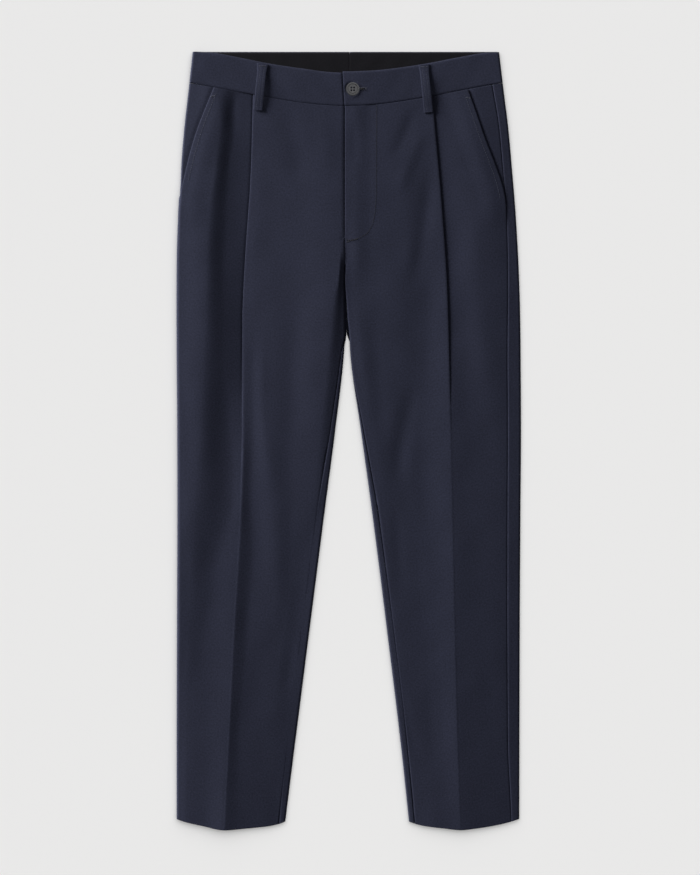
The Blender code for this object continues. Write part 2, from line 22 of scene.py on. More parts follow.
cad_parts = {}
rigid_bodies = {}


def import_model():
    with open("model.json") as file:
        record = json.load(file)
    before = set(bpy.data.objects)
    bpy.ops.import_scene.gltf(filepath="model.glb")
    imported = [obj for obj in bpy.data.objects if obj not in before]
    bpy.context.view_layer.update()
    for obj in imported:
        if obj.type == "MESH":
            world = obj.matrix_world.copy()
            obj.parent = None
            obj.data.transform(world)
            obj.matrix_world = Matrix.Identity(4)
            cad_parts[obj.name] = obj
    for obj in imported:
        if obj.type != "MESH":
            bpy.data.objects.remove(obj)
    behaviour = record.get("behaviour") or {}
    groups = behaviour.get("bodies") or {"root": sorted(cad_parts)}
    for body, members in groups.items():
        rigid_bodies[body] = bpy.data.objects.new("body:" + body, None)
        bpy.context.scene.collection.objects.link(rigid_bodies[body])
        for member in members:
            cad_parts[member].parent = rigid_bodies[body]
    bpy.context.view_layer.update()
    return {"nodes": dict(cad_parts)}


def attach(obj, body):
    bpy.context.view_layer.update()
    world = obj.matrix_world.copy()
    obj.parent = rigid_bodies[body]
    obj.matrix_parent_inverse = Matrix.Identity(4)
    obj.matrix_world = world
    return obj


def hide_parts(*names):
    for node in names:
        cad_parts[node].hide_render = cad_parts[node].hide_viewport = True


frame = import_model()

Array = np.ndarray
Place = tuple[float, float]
Section = Callable[[Array], tuple[Array, Array]]
log = logging.getLogger("trousers")

MM = 0.001
LENGTH = 1051.0

# Cloths' walls, the gaps that seams leave, and what a layer adds to what lies over it.
WALL = 0.9
BAND_WALL = 1.5
FACING_WALL = 1.0
LOOP_WALL = 1.2
SEAM_GAP = 0.3
DITCH = 0.7
LAYER_AIR = 0.2
LAYER = WALL + LAYER_AIR
BAND_LAYER = BAND_WALL + SEAM_GAP

# How a leg lies: its folds, the waist's lift over the back loops, and the cloth's waviness.
FOLD_RADIUS = 2.0
SOFT_FOLD_RADIUS = 3.6
SOFTENS_DOWN = (70.0, 260.0)
FIRMS_DOWN = (760.0, 1040.0)
FIRM_SHARE = 0.5
LYING_HEIGHT = WALL / 2
WAIST_LIFT = LOOP_WALL + SEAM_GAP
LIFT_ENDS_DOWN = (86.0, 165.0)
BROAD_WAVE = 0.14
FINE_WAVE = 0.06
LOOSE_FROM_FOLD = 14.0
LOOSE_TO_CROTCH = 60.0

# The fly, the crotch and the seat.
CENTRE_FRONT_X = -5.3
CENTRE_BACK_X = 0.8
CROTCH_DOWN = 308.0
CROTCH_STARTS_DOWN = 280.0
CROTCH_RADIUS = 1.6
CROTCH_ROUNDS_OUT_DOWN = (340.0, 398.0)
CROTCH_TIP_X = -3.2
SEAT_ENDS_DOWN = (378.0, 402.0)
SEAT_SEAM_BENDS_DOWN = (200.0, 350.0)
SEAT_SEAM_GAP = 0.06
FLY_END_DOWN = 254.0
FLY_TUCK_DOWN = (246.0, FLY_END_DOWN)
FLY_UNDERLAP = 8.0
FLY_EASE = (12.0, 36.0)
FLY_DROP = 1.2
FLY_DROPS_OVER = (-2.5, 1.0)

# Slant pockets and pleats. A groove or a dip is its depth and its width.
POCKET_FACING_UNDERLAP = 12.0
POCKET_FACING_DIP = (0.6, 4.0)
POCKET_EASE = (14.0, 40.0)
POCKET_RUNOUT = 45.0
POCKET_TUCK_DOWN = (140.0, 185.0)
TURN_UNDER = 6.0
PLEAT_TURN = LAYER / 2
PLEAT_OPEN_OVER = 3.0
PLEAT_OPEN_BEND = 1.5
PLEAT_GROOVE = (0.7, 2.2)
PLEAT_GROOVE_ENDS_DOWN = (440.0, 520.0)

# The waistband, its facing and its button.
BAND_DEPTH = 42.0
BAND_DEPTH_BACK = 45.0
BAND_BACK_RISE = 0.5
BAND_UNDERLAP_X = 32.0
BAND_OVERLAP_X = (-8.2, -5.6)
BAND_TOP_LIFT = 0.6
BAND_TOP_DROP = 1.0
BAND_TOP_STEP_ENDS = (10.0, 60.0)
BAND_EASE_X = (20.0, 104.0)
BAND_FRONT_HEIGHT = 6.3
BAND_BACK_HEIGHT = WAIST_LIFT + BAND_WALL / 2
FACING_HEIGHT = WAIST_LIFT + BAND_WALL + SEAM_GAP + FACING_WALL / 2
FACING_END_INSET = 9.0
OVERLAP_GROOVE = (0.8, 1.7)
BUTTON_X, BUTTON_DOWN, BUTTON_RADIUS = 5.2, 51.2, 9.2
BUTTON_PULL = (0.8, 1.7)
BUTTON_PULL_WAY = (0.85, 0.53)
LOOP_WIDTH = 12.0

# Rows of cloth are straight between these places, and bend to the seam above and the hem below.
SEAM_ROW, SEAM_FADES = 60.0, 165.0
HEM_ROW, HEM_STARTS = 1046.0, 940.0

# How edges roll under: the depth at the edge and the width over which it fades.
SEAM_ROLL = (0.35, 1.7)
TOP_ROLL = (0.1, 1.2)
BAND_TOP_ROLL = (0.6, 2.2)
BAND_SEAM_ROLL = (0.6, 1.7)
EDGE_ROLL = (0.16, 1.6)


def ease(value: Array, start: float, end: float) -> Array:
    """Rises smoothly from 0 at start to 1 at end.

    Args:
        value: where to read the rise.
        start: the value at which it leaves 0.
        end: the value at which it reaches 1.

    Returns:
        A share between 0 and 1 for each value.
    """
    share = np.clip((np.asarray(value, float) - start) / (end - start), 0.0, 1.0)
    return share * share * (3.0 - 2.0 * share)


def mix(first: Array, second: Array, share: Array) -> Array:
    """The value that lies this share of the way from first to second."""
    return first * (1.0 - share) + second * share


def between(count: int) -> Array:
    """Evenly spaced shares strictly between 0 and 1."""
    return np.arange(1, count + 1) / (count + 1)


def ridge(distance: Array, form: Place) -> Array:
    """Height of a soft ridge at a distance from its middle.

    Args:
        distance: from the ridge's middle.
        form: the ridge's height and its width.

    Returns:
        The height there.
    """
    height, width = form
    return height * np.exp(-((distance / width) ** 2))


def roll_down(distance: Array, roll: Place) -> Array:
    """How far cloth sinks at a distance from its edge, where the edge rolls under.

    Args:
        distance: from the edge.
        roll: the depth at the edge, and the width over which it fades.

    Returns:
        The drop, 0 or more.
    """
    depth, width = roll
    return depth * (1 - np.clip(distance / width, 0.0, 1.0)) ** 2


def fold_angle(arc: Array, radius: Array) -> Array:
    """How far a fold has turned at an arc from its outermost point, up to a right angle."""
    return np.clip(arc / radius, -math.pi / 2, math.pi / 2)


def facing_up(arc: Array, radius: Array) -> Array:
    """How much a fold faces up at an arc from its outermost point: 0 under it, 1 on top."""
    return (1 + np.sin(fold_angle(arc, radius))) / 2


def round_fold(arc: Array, radius: Array) -> tuple[Array, Array]:
    """Follows cloth round a fold.

    Args:
        arc: length of cloth from the fold's outermost point, + over it and - under it.
        radius: the fold's radius.

    Returns:
        How far inside the outermost point, and how high above the layer below the cloth is.
    """
    angle = fold_angle(arc, radius)
    beyond = np.maximum(np.abs(arc) - radius * math.pi / 2, 0.0)
    return radius * (1 - np.cos(angle)) + beyond, radius * (1 + np.sin(angle))


def spaced(start: float, end: float, spacing: float, edge: Sequence[float] = ()) -> Array:
    """Places from start to end about a spacing apart, with closer ones beside both ends.

    Args:
        start: the first place.
        end: the last place.
        spacing: the usual distance between neighbours.
        edge: the first distances from each end, rising.

    Returns:
        The rising places.
    """
    near = [0.0, *edge]
    steps = max(1, round((end - start - 2 * near[-1]) / spacing))
    middle = np.linspace(start + near[-1], end - near[-1], steps + 1)
    before = [start + step for step in near[:-1]]
    after = [end - step for step in reversed(near[:-1])]
    return np.array([*before, *middle, *after])


def smooth_through(knots: Array, values: Array, at: Array) -> Array:
    """Reads a smooth curve through knots, level past its ends, that never overshoots them.

    Args:
        knots: rising places along the first axis, which may differ from row to row.
        values: the curve's value at each knot.
        at: where to read it.

    Returns:
        The values there.
    """
    rises = np.diff(values, axis=0) / np.diff(knots, axis=0)
    same_way = rises[:-1] * rises[1:] > 0
    sums = np.where(same_way, rises[:-1] + rises[1:], 1.0)
    inside = np.where(same_way, 2 * rises[:-1] * rises[1:] / sums, 0.0)
    slopes = np.concatenate([rises[:1], inside, rises[-1:]])
    result = np.broadcast_to(values[0], np.broadcast_shapes(values[0].shape, at.shape))
    for index in range(len(knots) - 1):
        span = knots[index + 1] - knots[index]
        t = np.clip((at - knots[index]) / span, 0.0, 1.0)
        curve = (
            values[index] * (1 + 2 * t) * (1 - t) ** 2
            + slopes[index] * span * t * (1 - t) ** 2
            + values[index + 1] * t * t * (3 - 2 * t)
            + slopes[index + 1] * span * t * t * (t - 1)
        )
        result = np.where(at >= knots[index], curve, result)
    return result


@dataclass(frozen=True)
class Table:
    """A short table: named columns of values over a first column of rising places."""

    columns: str
    rows: tuple[tuple[float, ...], ...]

    def read(self, column: str, at: Array) -> Array:
        """Reads a column on a smooth curve through the rows.

        Args:
            column: its name.
            at: where to read it, in the first column's measure.

        Returns:
            Its value at each place.
        """
        numbers = np.array(self.rows, float)
        values = numbers[:, self.columns.split().index(column)]
        at = np.asarray(at, float)
        spread = (len(values),) + (1,) * at.ndim
        return smooth_through(numbers[:, 0].reshape(spread), values.reshape(spread), at)


@dataclass(frozen=True)
class SoftFold:
    """A soft ridge on the upper layer, or a trough where its height is negative.

    It runs from its first end to its second and may bow sideways between them.
    """

    x_start: float
    down_start: float
    x_end: float
    down_end: float
    height: float
    width: float
    bow: float = 0.0
    taper: float = 0.3

    def height_at(self, x: Array, down: Array) -> Array:
        """How much the fold raises the cloth.

        Args:
            x: the places' X.
            down: their distance down the garment.

        Returns:
            The rise at each place, below 0 in a trough.
        """
        run_x, run_down = self.x_end - self.x_start, self.down_end - self.down_start
        length = math.hypot(run_x, run_down)
        along = ((x - self.x_start) * run_x + (down - self.down_start) * run_down) / length**2
        across = ((x - self.x_start) * run_down - (down - self.down_start) * run_x) / length
        across = across - self.bow * 4 * along * (1 - along)
        fading = ease(along, 0.0, self.taper) * (1 - ease(along, 1 - self.taper, 1.0))
        return fading * ridge(across, (self.height, self.width))


class Side(Enum):
    """The wearer's side, as the sign of X."""

    RIGHT = -1
    LEFT = 1


RIGHT_OUTER = Table(
    "down lateral",
    (
        (0, 211.0), (40, 215.3), (105, 222.5), (160, 227.1), (215, 230.5), (285, 232.6),
        (345, 232.9), (403, 232.7), (511, 231.9), (619, 231.7), (781, 232.2), (943, 232.7),
        (1051, 232.7),
    ),
)
LEFT_OUTER = Table(
    "down lateral",
    (
        (0, 203.0), (40, 207.6), (105, 215.6), (160, 220.6), (215, 225.1), (285, 229.2),
        (345, 231.3), (403, 232.1), (511, 232.7), (619, 231.9), (781, 230.9), (943, 230.5),
        (1051, 230.2),
    ),
)
RIGHT_INNER = Table(
    "down lateral",
    (
        (0, 5.8), (290, 5.9), (303, 6.8), (314, 7.1), (328, 6.7), (345, 6.2), (364, 5.8),
        (385, 5.4), (403, 6.3), (511, 18.4), (619, 32.5), (781, 53.1), (943, 73.8),
        (1051, 87.3),
    ),
)
LEFT_INNER = Table(
    "down lateral",
    (
        (0, -5.5), (270, -5.6), (290, -5.8), (312, -5.3), (325, -4.2), (339, -3.0), (364, -1.4),
        (382, 0.6), (403, 1.5), (511, 16.2), (619, 31.0), (781, 51.4), (943, 71.0),
        (1051, 82.3),
    ),
)
RIGHT_CREASE = Table(
    "down lateral",
    (
        (60, 129.0), (160, 131.9), (285, 140.1), (362, 143.4), (524, 143.6), (632, 146.7),
        (784, 155.4), (916, 161.9), (1051, 168.5),
    ),
)
LEFT_CREASE = Table(
    "down lateral",
    (
        (60, 112.4), (106, 116.4), (188, 123.8), (319, 132.7), (420, 135.7), (543, 138.5),
        (784, 143.4), (916, 146.6), (1051, 151.2),
    ),
)

# Where the front panel's outer edge lies, as a length of cloth from the outermost point of the
# fold: the pocket's slant first, then the side seam, which is under the leg where it is negative.
RIGHT_SIDE_EDGE = Table(
    "down arc",
    (
        (44, 35.8), (119, 15.6), (180, 5.2), (192, 3.6), (204, -2.0), (216, -TURN_UNDER),
        (1051, -TURN_UNDER),
    ),
)
LEFT_SIDE_EDGE = Table(
    "down arc",
    (
        (46, 50.0), (106, 36.6), (207, 13.3), (222, 13.6), (430, 19.2), (929, 16.9),
        (1012, 13.0), (1051, 11.2),
    ),
)
RIGHT_SIDE_SEAM = Table("down arc", ((44, -TURN_UNDER), (1051, -TURN_UNDER)))
LEFT_SIDE_SEAM = Table(
    "down arc",
    (
        (44, 15.2), (106, 13.1), (207, 13.0), (222, 13.3), (430, 18.9), (929, 16.6),
        (1012, 12.7), (1051, 10.9),
    ),
)
RIGHT_INSEAM = Table(
    "down arc",
    (
        (284, -4.0), (360, -3.5), (385, 0.5), (405, 4.0), (439, 5.3), (515, 7.2), (581, 10.0),
        (632, 13.5), (717, 15.3), (800, 15.8), (930, 14.0), (1051, 8.0),
    ),
)
LEFT_INSEAM = Table(
    "down arc",
    (
        (284, -4.0), (400, -3.5), (440, 0.5), (480, 2.8), (505, 3.8), (560, 6.4), (632, 8.9),
        (870, 10.7), (930, 9.4), (1051, 8.0),
    ),
)

# The waistband's upper edge in front, and its lower seam, by X.
BAND_TOP = Table(
    "x down",
    (
        (-220, 0.0), (-190, 1.2), (-147, 8.6), (-108, 16.4), (-65, 22.9), (-30, 27.0),
        (0, 28.0), (30, 26.6), (65, 22.6), (108, 15.9), (147, 8.4), (190, 1.4), (220, 0.0),
    ),
)
BAND_SEAM = Table(
    "x down",
    (
        (-220, 41.0), (-181, 48.0), (-147, 54.2), (-108, 61.4), (-65, 68.4), (-30, 71.8),
        (0, 73.0), (30, 71.6), (65, 67.7), (108, 60.6), (147, 53.0), (181, 46.4), (220, 40.0),
    ),
)
RIGHT_HEM = Table(
    "x down",
    (
        (-233, 1036.0), (-221, 1040.0), (-197, 1045.4), (-168, 1050.8), (-135, 1048.4),
        (-109, 1045.8), (-94, 1042.8), (-86, 1039.5),
    ),
)
LEFT_HEM = Table(
    "x down",
    (
        (81, 1039.6), (90, 1042.8), (104, 1045.8), (126, 1048.4), (151, 1050.8), (173, 1048.6),
        (192, 1045.8), (217, 1040.4), (231, 1035.8),
    ),
)

# The upper layer across each leg, from the outer fold: the flank's crest, the hollow beside the
# pleat, the foot that runs under the pleat, the pleat's step and overlap (negative where it has
# opened into a pressed ridge), then a dip, a crest, a valley, the middle of the inner half and
# its end beside the inner fold or the centre.
RELIEF_COLUMNS = (
    "down flank_at flank hollow_at hollow foot step overlap "
    "dip_at dip crest_at crest valley_at valley middle_at middle end"
)
RIGHT_RELIEF = Table(
    RELIEF_COLUMNS,
    (
        (40, 184, 5.6, 152, 4.6, 3.0, 2.0, 16, 116, 5.4, 96, 5.6, 66, 5.4, 36, 5.2, 4.9),
        (92, 174, 6.8, 152, 3.1, 2.6, 1.9, 14, 112, 4.8, 94, 5.0, 66, 5.3, 36, 5.4, 5.2),
        (150, 180, 8.4, 160, 4.2, 1.9, 1.9, 12, 118, 4.5, 96, 4.9, 66, 5.4, 34, 6.0, 5.9),
        (214, 188, 9.2, 164, 4.6, 1.6, 2.1, 9, 121, 4.4, 98, 4.8, 66, 5.5, 24, 6.8, 6.6),
        (268, 191, 9.8, 166, 5.0, 1.5, 2.0, 7, 126, 4.4, 104, 4.8, 74, 5.4, 12, 7.4, 7.2),
        (308, 192, 10.0, 167, 5.4, 1.5, 2.0, 5.5, 127, 4.4, 108, 4.8, 78, 5.4, 14, 7.8, 4.5),
        (338, 193, 10.0, 167, 5.7, 1.5, 2.0, 4.2, 128, 4.4, 110, 4.8, 80, 5.4, 19, 8.0, 4.5),
        (376, 194, 10.0, 167, 5.8, 1.5, 1.9, 2.6, 130, 4.1, 113, 4.9, 82, 5.4, 24, 8.0, 4.5),
        (430, 197, 9.7, 167, 5.2, 1.8, 1.7, 1.2, 133, 3.5, 115, 5.2, 82, 5.3, 29, 7.5, 4.5),
        (484, 199, 9.3, 160, 3.5, 2.9, 1.0, -0.2, 132, 3.6, 114, 5.3, 80, 5.2, 34, 6.8, 4.5),
        (538, 202, 9.2, 158, 3.6, 4.2, 0.8, -1.2, 131, 3.8, 108, 6.0, 78, 5.2, 41, 6.0, 4.5),
        (605, 206, 9.0, 158, 4.8, 5.4, 0.4, -2, 132, 4.0, 101, 5.8, 74, 4.8, 48, 5.2, 4.5),
        (673, 212, 7.9, 176, 5.2, 6.3, 0.3, -2.5, 128, 4.2, 98, 5.7, 76, 4.6, 58, 4.2, 4.5),
        (740, 216, 7.7, 184, 6.2, 7.3, 0.2, -2.5, 132, 4.9, 100, 5.4, 82, 4.7, 66, 4.2, 4.5),
        (821, 218, 7.5, 196, 6.8, 8.2, 0.2, -2.5, 138, 5.9, 114, 5.2, 94, 5.1, 76, 4.2, 4.5),
        (902, 218, 7.5, 192, 7.9, 9.2, 0.2, -2.5, 146, 7.2, 122, 6.2, 102, 5.7, 86, 5.1, 4.5),
        (1051, 219, 6.9, 194, 7.8, 10.0, 0.2, -2.5, 150, 8.2, 130, 7.0, 114, 6.1, 102, 5.2, 4.5),
    ),
)
LEFT_RELIEF = Table(
    RELIEF_COLUMNS,
    (
        (40, 170, 5.2, 134, 4.8, 3.8, 1.8, 16, 90, 5.5, 64, 5.7, 36, 5.5, 14, 5.2, 5.0),
        (92, 170, 6.0, 134, 5.0, 4.0, 2.2, 14, 96, 5.8, 66, 6.4, 38, 6.2, 14, 5.8, 5.4),
        (150, 171, 6.9, 135, 5.8, 4.9, 2.3, 12, 100, 6.9, 68, 7.4, 38, 7.0, 14, 6.2, 5.6),
        (214, 174, 7.0, 138, 5.1, 4.2, 2.3, 9, 106, 6.0, 76, 6.8, 40, 6.4, 12, 6.0, 5.8),
        (268, 175, 7.1, 144, 5.2, 4.2, 2.3, 7, 106, 5.8, 76, 6.8, 42, 6.6, 14, 6.4, 5.2),
        (322, 177, 7.2, 147, 5.8, 5.0, 2.1, 5, 104, 5.4, 70, 6.2, 34, 5.4, 12, 5.3, 4.5),
        (376, 182, 6.8, 152, 5.5, 5.0, 1.8, 2.8, 103, 4.5, 68, 5.3, 40, 5.4, 16, 5.6, 4.5),
        (430, 186, 6.6, 158, 5.9, 6.4, 1.0, 1, 100, 4.3, 70, 4.9, 46, 5.2, 24, 5.4, 4.5),
        (484, 190, 6.1, 164, 5.8, 6.9, 0.3, -1, 98, 4.3, 74, 4.6, 52, 5.0, 32, 5.2, 4.5),
        (538, 200, 5.6, 172, 5.8, 6.9, 0.2, -2, 92, 4.2, 72, 4.3, 54, 4.8, 40, 5.0, 4.5),
        (605, 203, 5.6, 174, 6.0, 7.0, 0.2, -2.5, 96, 4.2, 82, 4.2, 64, 4.6, 50, 4.8, 4.5),
        (673, 206, 5.8, 180, 6.3, 7.5, 0.2, -2.5, 106, 4.9, 88, 4.4, 72, 4.5, 58, 4.8, 4.5),
        (740, 207, 5.5, 180, 6.4, 7.6, 0.2, -2.5, 112, 5.6, 94, 5.0, 78, 4.9, 64, 5.0, 4.5),
        (821, 208, 5.8, 182, 6.9, 8.0, 0.2, -2.5, 118, 5.9, 102, 5.2, 88, 5.0, 76, 5.0, 4.5),
        (902, 209, 5.7, 184, 6.6, 7.8, 0.2, -2.5, 122, 5.4, 108, 4.8, 97, 4.9, 86, 5.0, 4.5),
        (1051, 210, 5.4, 186, 6.4, 8.2, 0.2, -2.5, 128, 7.2, 115, 6.8, 105, 6.1, 96, 5.3, 4.5),
    ),
)

# Soft folds of the front, each from its upper to its lower end.
RIGHT_FOLDS = (
    SoftFold(-155, 46, -160, 120, -0.7, 7.0, 0.0, 0.4),
    SoftFold(-84, 68, -66, 190, -0.5, 14.0, 4.0),
    SoftFold(-40, 78, -28, 180, 0.4, 12.0, 2.0),
    SoftFold(-60, 300, -84, 620, -0.6, 16.0, -6.0),
    SoftFold(-5.2, 66, -5.4, 300, -0.8, 1.7, 0.0, 0.03),
)
LEFT_FOLDS = (
    SoftFold(92, 74, 58, 150, -0.5, 8.0, 0.0),
    SoftFold(104, 96, 62, 200, 0.5, 9.0, 0.0),
    SoftFold(113, 130, 84, 330, -0.6, 10.0, 4.0),
    SoftFold(92, 440, 62, 600, -0.9, 12.0, -4.0),
    SoftFold(64, 600, 66, 760, -0.5, 11.0, 0.0),
    SoftFold(30, 340, 46, 540, -0.5, 12.0, 0.0),
    SoftFold(6, 90, 10, 160, -0.3, 6.0, 0.0),
    SoftFold(66, 860, 92, 960, -0.4, 9.0, 0.0),
)


@dataclass(frozen=True)
class Leg:
    """One leg's cut and how its cloth lies: everything that its pieces share."""

    side: Side
    outer_line: Table
    inner_line: Table
    crease: Table
    side_edge: Table
    side_seam: Table
    inseam: Table
    hem: Table
    relief: Table
    folds: tuple[SoftFold, ...]
    front_edge: float
    pocket_end: float

    @property
    def name(self) -> str:
        """The wearer's side in lower case, as the pieces' names have it."""
        return self.side.name.lower()

    @property
    def sign(self) -> int:
        """The sign of X on this side."""
        return self.side.value

    @property
    def is_left(self) -> bool:
        """Whether this is the wearer's left, whose front closes over the right."""
        return self.side is Side.LEFT

    def outer_edge(self, down: Array) -> Array:
        """Lateral of the middle of the cloth at the outermost point of the outer fold."""
        return self.outer_line.read("lateral", down) - WALL / 2

    def inner_edge(self, down: Array) -> Array:
        """Lateral of the middle of the cloth at the innermost point of the inner fold."""
        return self.inner_line.read("lateral", down) + WALL / 2

    def outer_radius(self, down: Array) -> Array:
        """Radius of the outer fold, which is softer on the wearer's right."""
        softness = ease(down, *SOFTENS_DOWN) - FIRM_SHARE * ease(down, *FIRMS_DOWN)
        return mix(FOLD_RADIUS, SOFT_FOLD_RADIUS, softness * (not self.is_left))

    def inner_radius(self, down: Array) -> Array:
        """Radius of the inner fold, which is tighter at the crotch."""
        return mix(CROTCH_RADIUS, FOLD_RADIUS, ease(down, *CROTCH_ROUNDS_OUT_DOWN))

    def inner_bottom(self, down: Array) -> Array:
        """Height of the cloth under the inner fold, which lies on the seat at the crotch."""
        return LYING_HEIGHT + LAYER * (1 - ease(down, *CROTCH_ROUNDS_OUT_DOWN))

    def lift(self, down: Array) -> Array:
        """How far the back loops hold the cloth off the table."""
        return WAIST_LIFT * (1 - ease(down, *LIFT_ENDS_DOWN))

    def foot_at(self, down: Array) -> Array:
        """Lateral of the foot, where the outer part of the front turns under the pleat."""
        return self.crease.read("lateral", down) - self.relief.read("overlap", down) + PLEAT_TURN

    def looseness(self, down: Array, lateral: Array) -> Array:
        """How much soft folds and the cloth's slight waviness move the upper layer.

        Args:
            down: distance down the garment.
            lateral: distance from the centre line.

        Returns:
            The rise at each place, which fades out beside the leg's folds.
        """
        x = self.sign * lateral
        folds = sum(fold.height_at(x, down) for fold in self.folds)
        broad = np.sin(x / 13 + 1.1 * np.sin(down / 47)) * np.sin(down / 31 + 0.9 * np.sin(x / 23))
        fine = np.sin(x / 7.5 + down / 29) * np.sin(down / 17 - x / 41)
        total = folds + BROAD_WAVE * broad + FINE_WAVE * fine
        from_outer = self.outer_edge(down) - self.outer_radius(down) - lateral
        from_inner = lateral - self.inner_edge(down) - FOLD_RADIUS
        below_crotch = ease(down, CROTCH_DOWN, CROTCH_DOWN + LOOSE_TO_CROTCH)
        near_inner = mix(1.0, ease(from_inner, 0.0, LOOSE_FROM_FOLD), below_crotch)
        return total * ease(from_outer, 0.0, LOOSE_FROM_FOLD) * near_inner

    def _across(
        self, names: Sequence[str], first: tuple[Array, Array], last: tuple[Array, Array],
        down: Array, lateral: Array,
    ) -> Array:
        """Reads the upper layer's height on a smooth line across part of the leg.

        Args:
            names: the relief's points that the line goes through, inward.
            first: lateral and height of its outer end.
            last: lateral and height of its inner end.
            down: distance down the garment.
            lateral: distance from the centre line.

        Returns:
            The height at each place.
        """
        places = [first[0], *(self.relief.read(f"{name}_at", down) for name in names), last[0]]
        heights = [first[1], *(self.relief.read(name, down) for name in names), last[1]]
        return smooth_through(-np.stack(places), np.stack(heights), -lateral)

    def outer_height(self, down: Array, lateral: Array) -> Array:
        """Height of the upper layer from the outer fold to where it goes under the pleat.

        Args:
            down: distance down the garment.
            lateral: distance from the centre line.

        Returns:
            The height at each place.
        """
        radius = self.outer_radius(down)
        top = self.outer_edge(down) - radius, LYING_HEIGHT + 2 * radius
        foot = self.foot_at(down), self.relief.read("foot", down)
        from_crease = lateral - self.crease.read("lateral", down) + PLEAT_TURN
        groove = ridge(from_crease, PLEAT_GROOVE) * (1 - ease(down, *PLEAT_GROOVE_ENDS_DOWN))
        height = self._across(("flank", "hollow"), top, foot, down, lateral)
        return height - groove + self.looseness(down, lateral)

    def inner_height(self, down: Array, lateral: Array) -> Array:
        """Height of the upper layer from the pleat's edge to the inner fold or the centre.

        Args:
            down: distance down the garment.
            lateral: distance from the centre line.

        Returns:
            The height at each place.
        """
        over = self.relief.read("foot", down) + self.relief.read("step", down)
        edge = self.crease.read("lateral", down) - PLEAT_TURN, over
        radius = self.inner_radius(down)
        on_fold = self.inner_bottom(down) + 2 * radius
        below = ease(down, CROTCH_STARTS_DOWN, CROTCH_DOWN)
        end = self.inner_edge(down) + radius, mix(self.relief.read("end", down), on_fold, below)
        height = self._across(("dip", "crest", "valley", "middle"), edge, end, down, lateral)
        return height + self.looseness(down, lateral)

    def round_outer_fold(self, down: Array, arc: Array) -> tuple[Array, Array]:
        """Follows the cloth round the outer fold.

        Args:
            down: distance down the garment.
            arc: length of cloth from the outermost point, + over the leg and - under it.

        Returns:
            The lateral and the height there.
        """
        radius = self.outer_radius(down)
        inset, rise = round_fold(arc, radius)
        lateral = self.outer_edge(down) - inset
        over = self.outer_height(down, lateral)
        return lateral, np.where(arc > radius * math.pi / 2, over, LYING_HEIGHT + rise)

    def round_inner_fold(self, down: Array, arc: Array) -> tuple[Array, Array]:
        """Follows the cloth round the inner fold.

        Args:
            down: distance down the garment.
            arc: length of cloth from the innermost point, + over the leg and - under it.

        Returns:
            The lateral and the height there.
        """
        radius = self.inner_radius(down)
        inset, rise = round_fold(arc, radius)
        lateral = self.inner_edge(down) + inset
        over = self.inner_height(down, lateral)
        return lateral, np.where(arc > radius * math.pi / 2, over, self.inner_bottom(down) + rise)

    def bent_down(self, row: Array, lateral: Array, deepest_seam: float) -> Array:
        """Bends a row to the waistband's seam above and to the hem below.

        Args:
            row: where the row would lie if it were straight.
            lateral: distance from the centre line.
            deepest_seam: how far down the waistband's seam may reach.

        Returns:
            The distance down the garment at each place.
        """
        x = self.sign * lateral
        seam = np.minimum(BAND_SEAM.read("down", x), deepest_seam) + DITCH
        hem = self.hem.read("down", x)
        to_seam = 1 - np.clip((row - SEAM_ROW) / (SEAM_FADES - SEAM_ROW), 0, 1)
        to_hem = np.clip((row - HEM_STARTS) / (HEM_ROW - HEM_STARTS), 0, 1)
        return row + (seam - SEAM_ROW) * to_seam + (hem - HEM_ROW) * to_hem


RIGHT_LEG = Leg(
    Side.RIGHT, RIGHT_OUTER, RIGHT_INNER, RIGHT_CREASE, RIGHT_SIDE_EDGE, RIGHT_SIDE_SEAM,
    RIGHT_INSEAM, RIGHT_HEM, RIGHT_RELIEF, RIGHT_FOLDS, -CENTRE_FRONT_X + SEAM_GAP / 2, 204.0,
)
LEFT_LEG = Leg(
    Side.LEFT, LEFT_OUTER, LEFT_INNER, LEFT_CREASE, LEFT_SIDE_EDGE, LEFT_SIDE_SEAM,
    LEFT_INSEAM, LEFT_HEM, LEFT_RELIEF, LEFT_FOLDS, CENTRE_FRONT_X + SEAM_GAP / 2, 200.0,
)


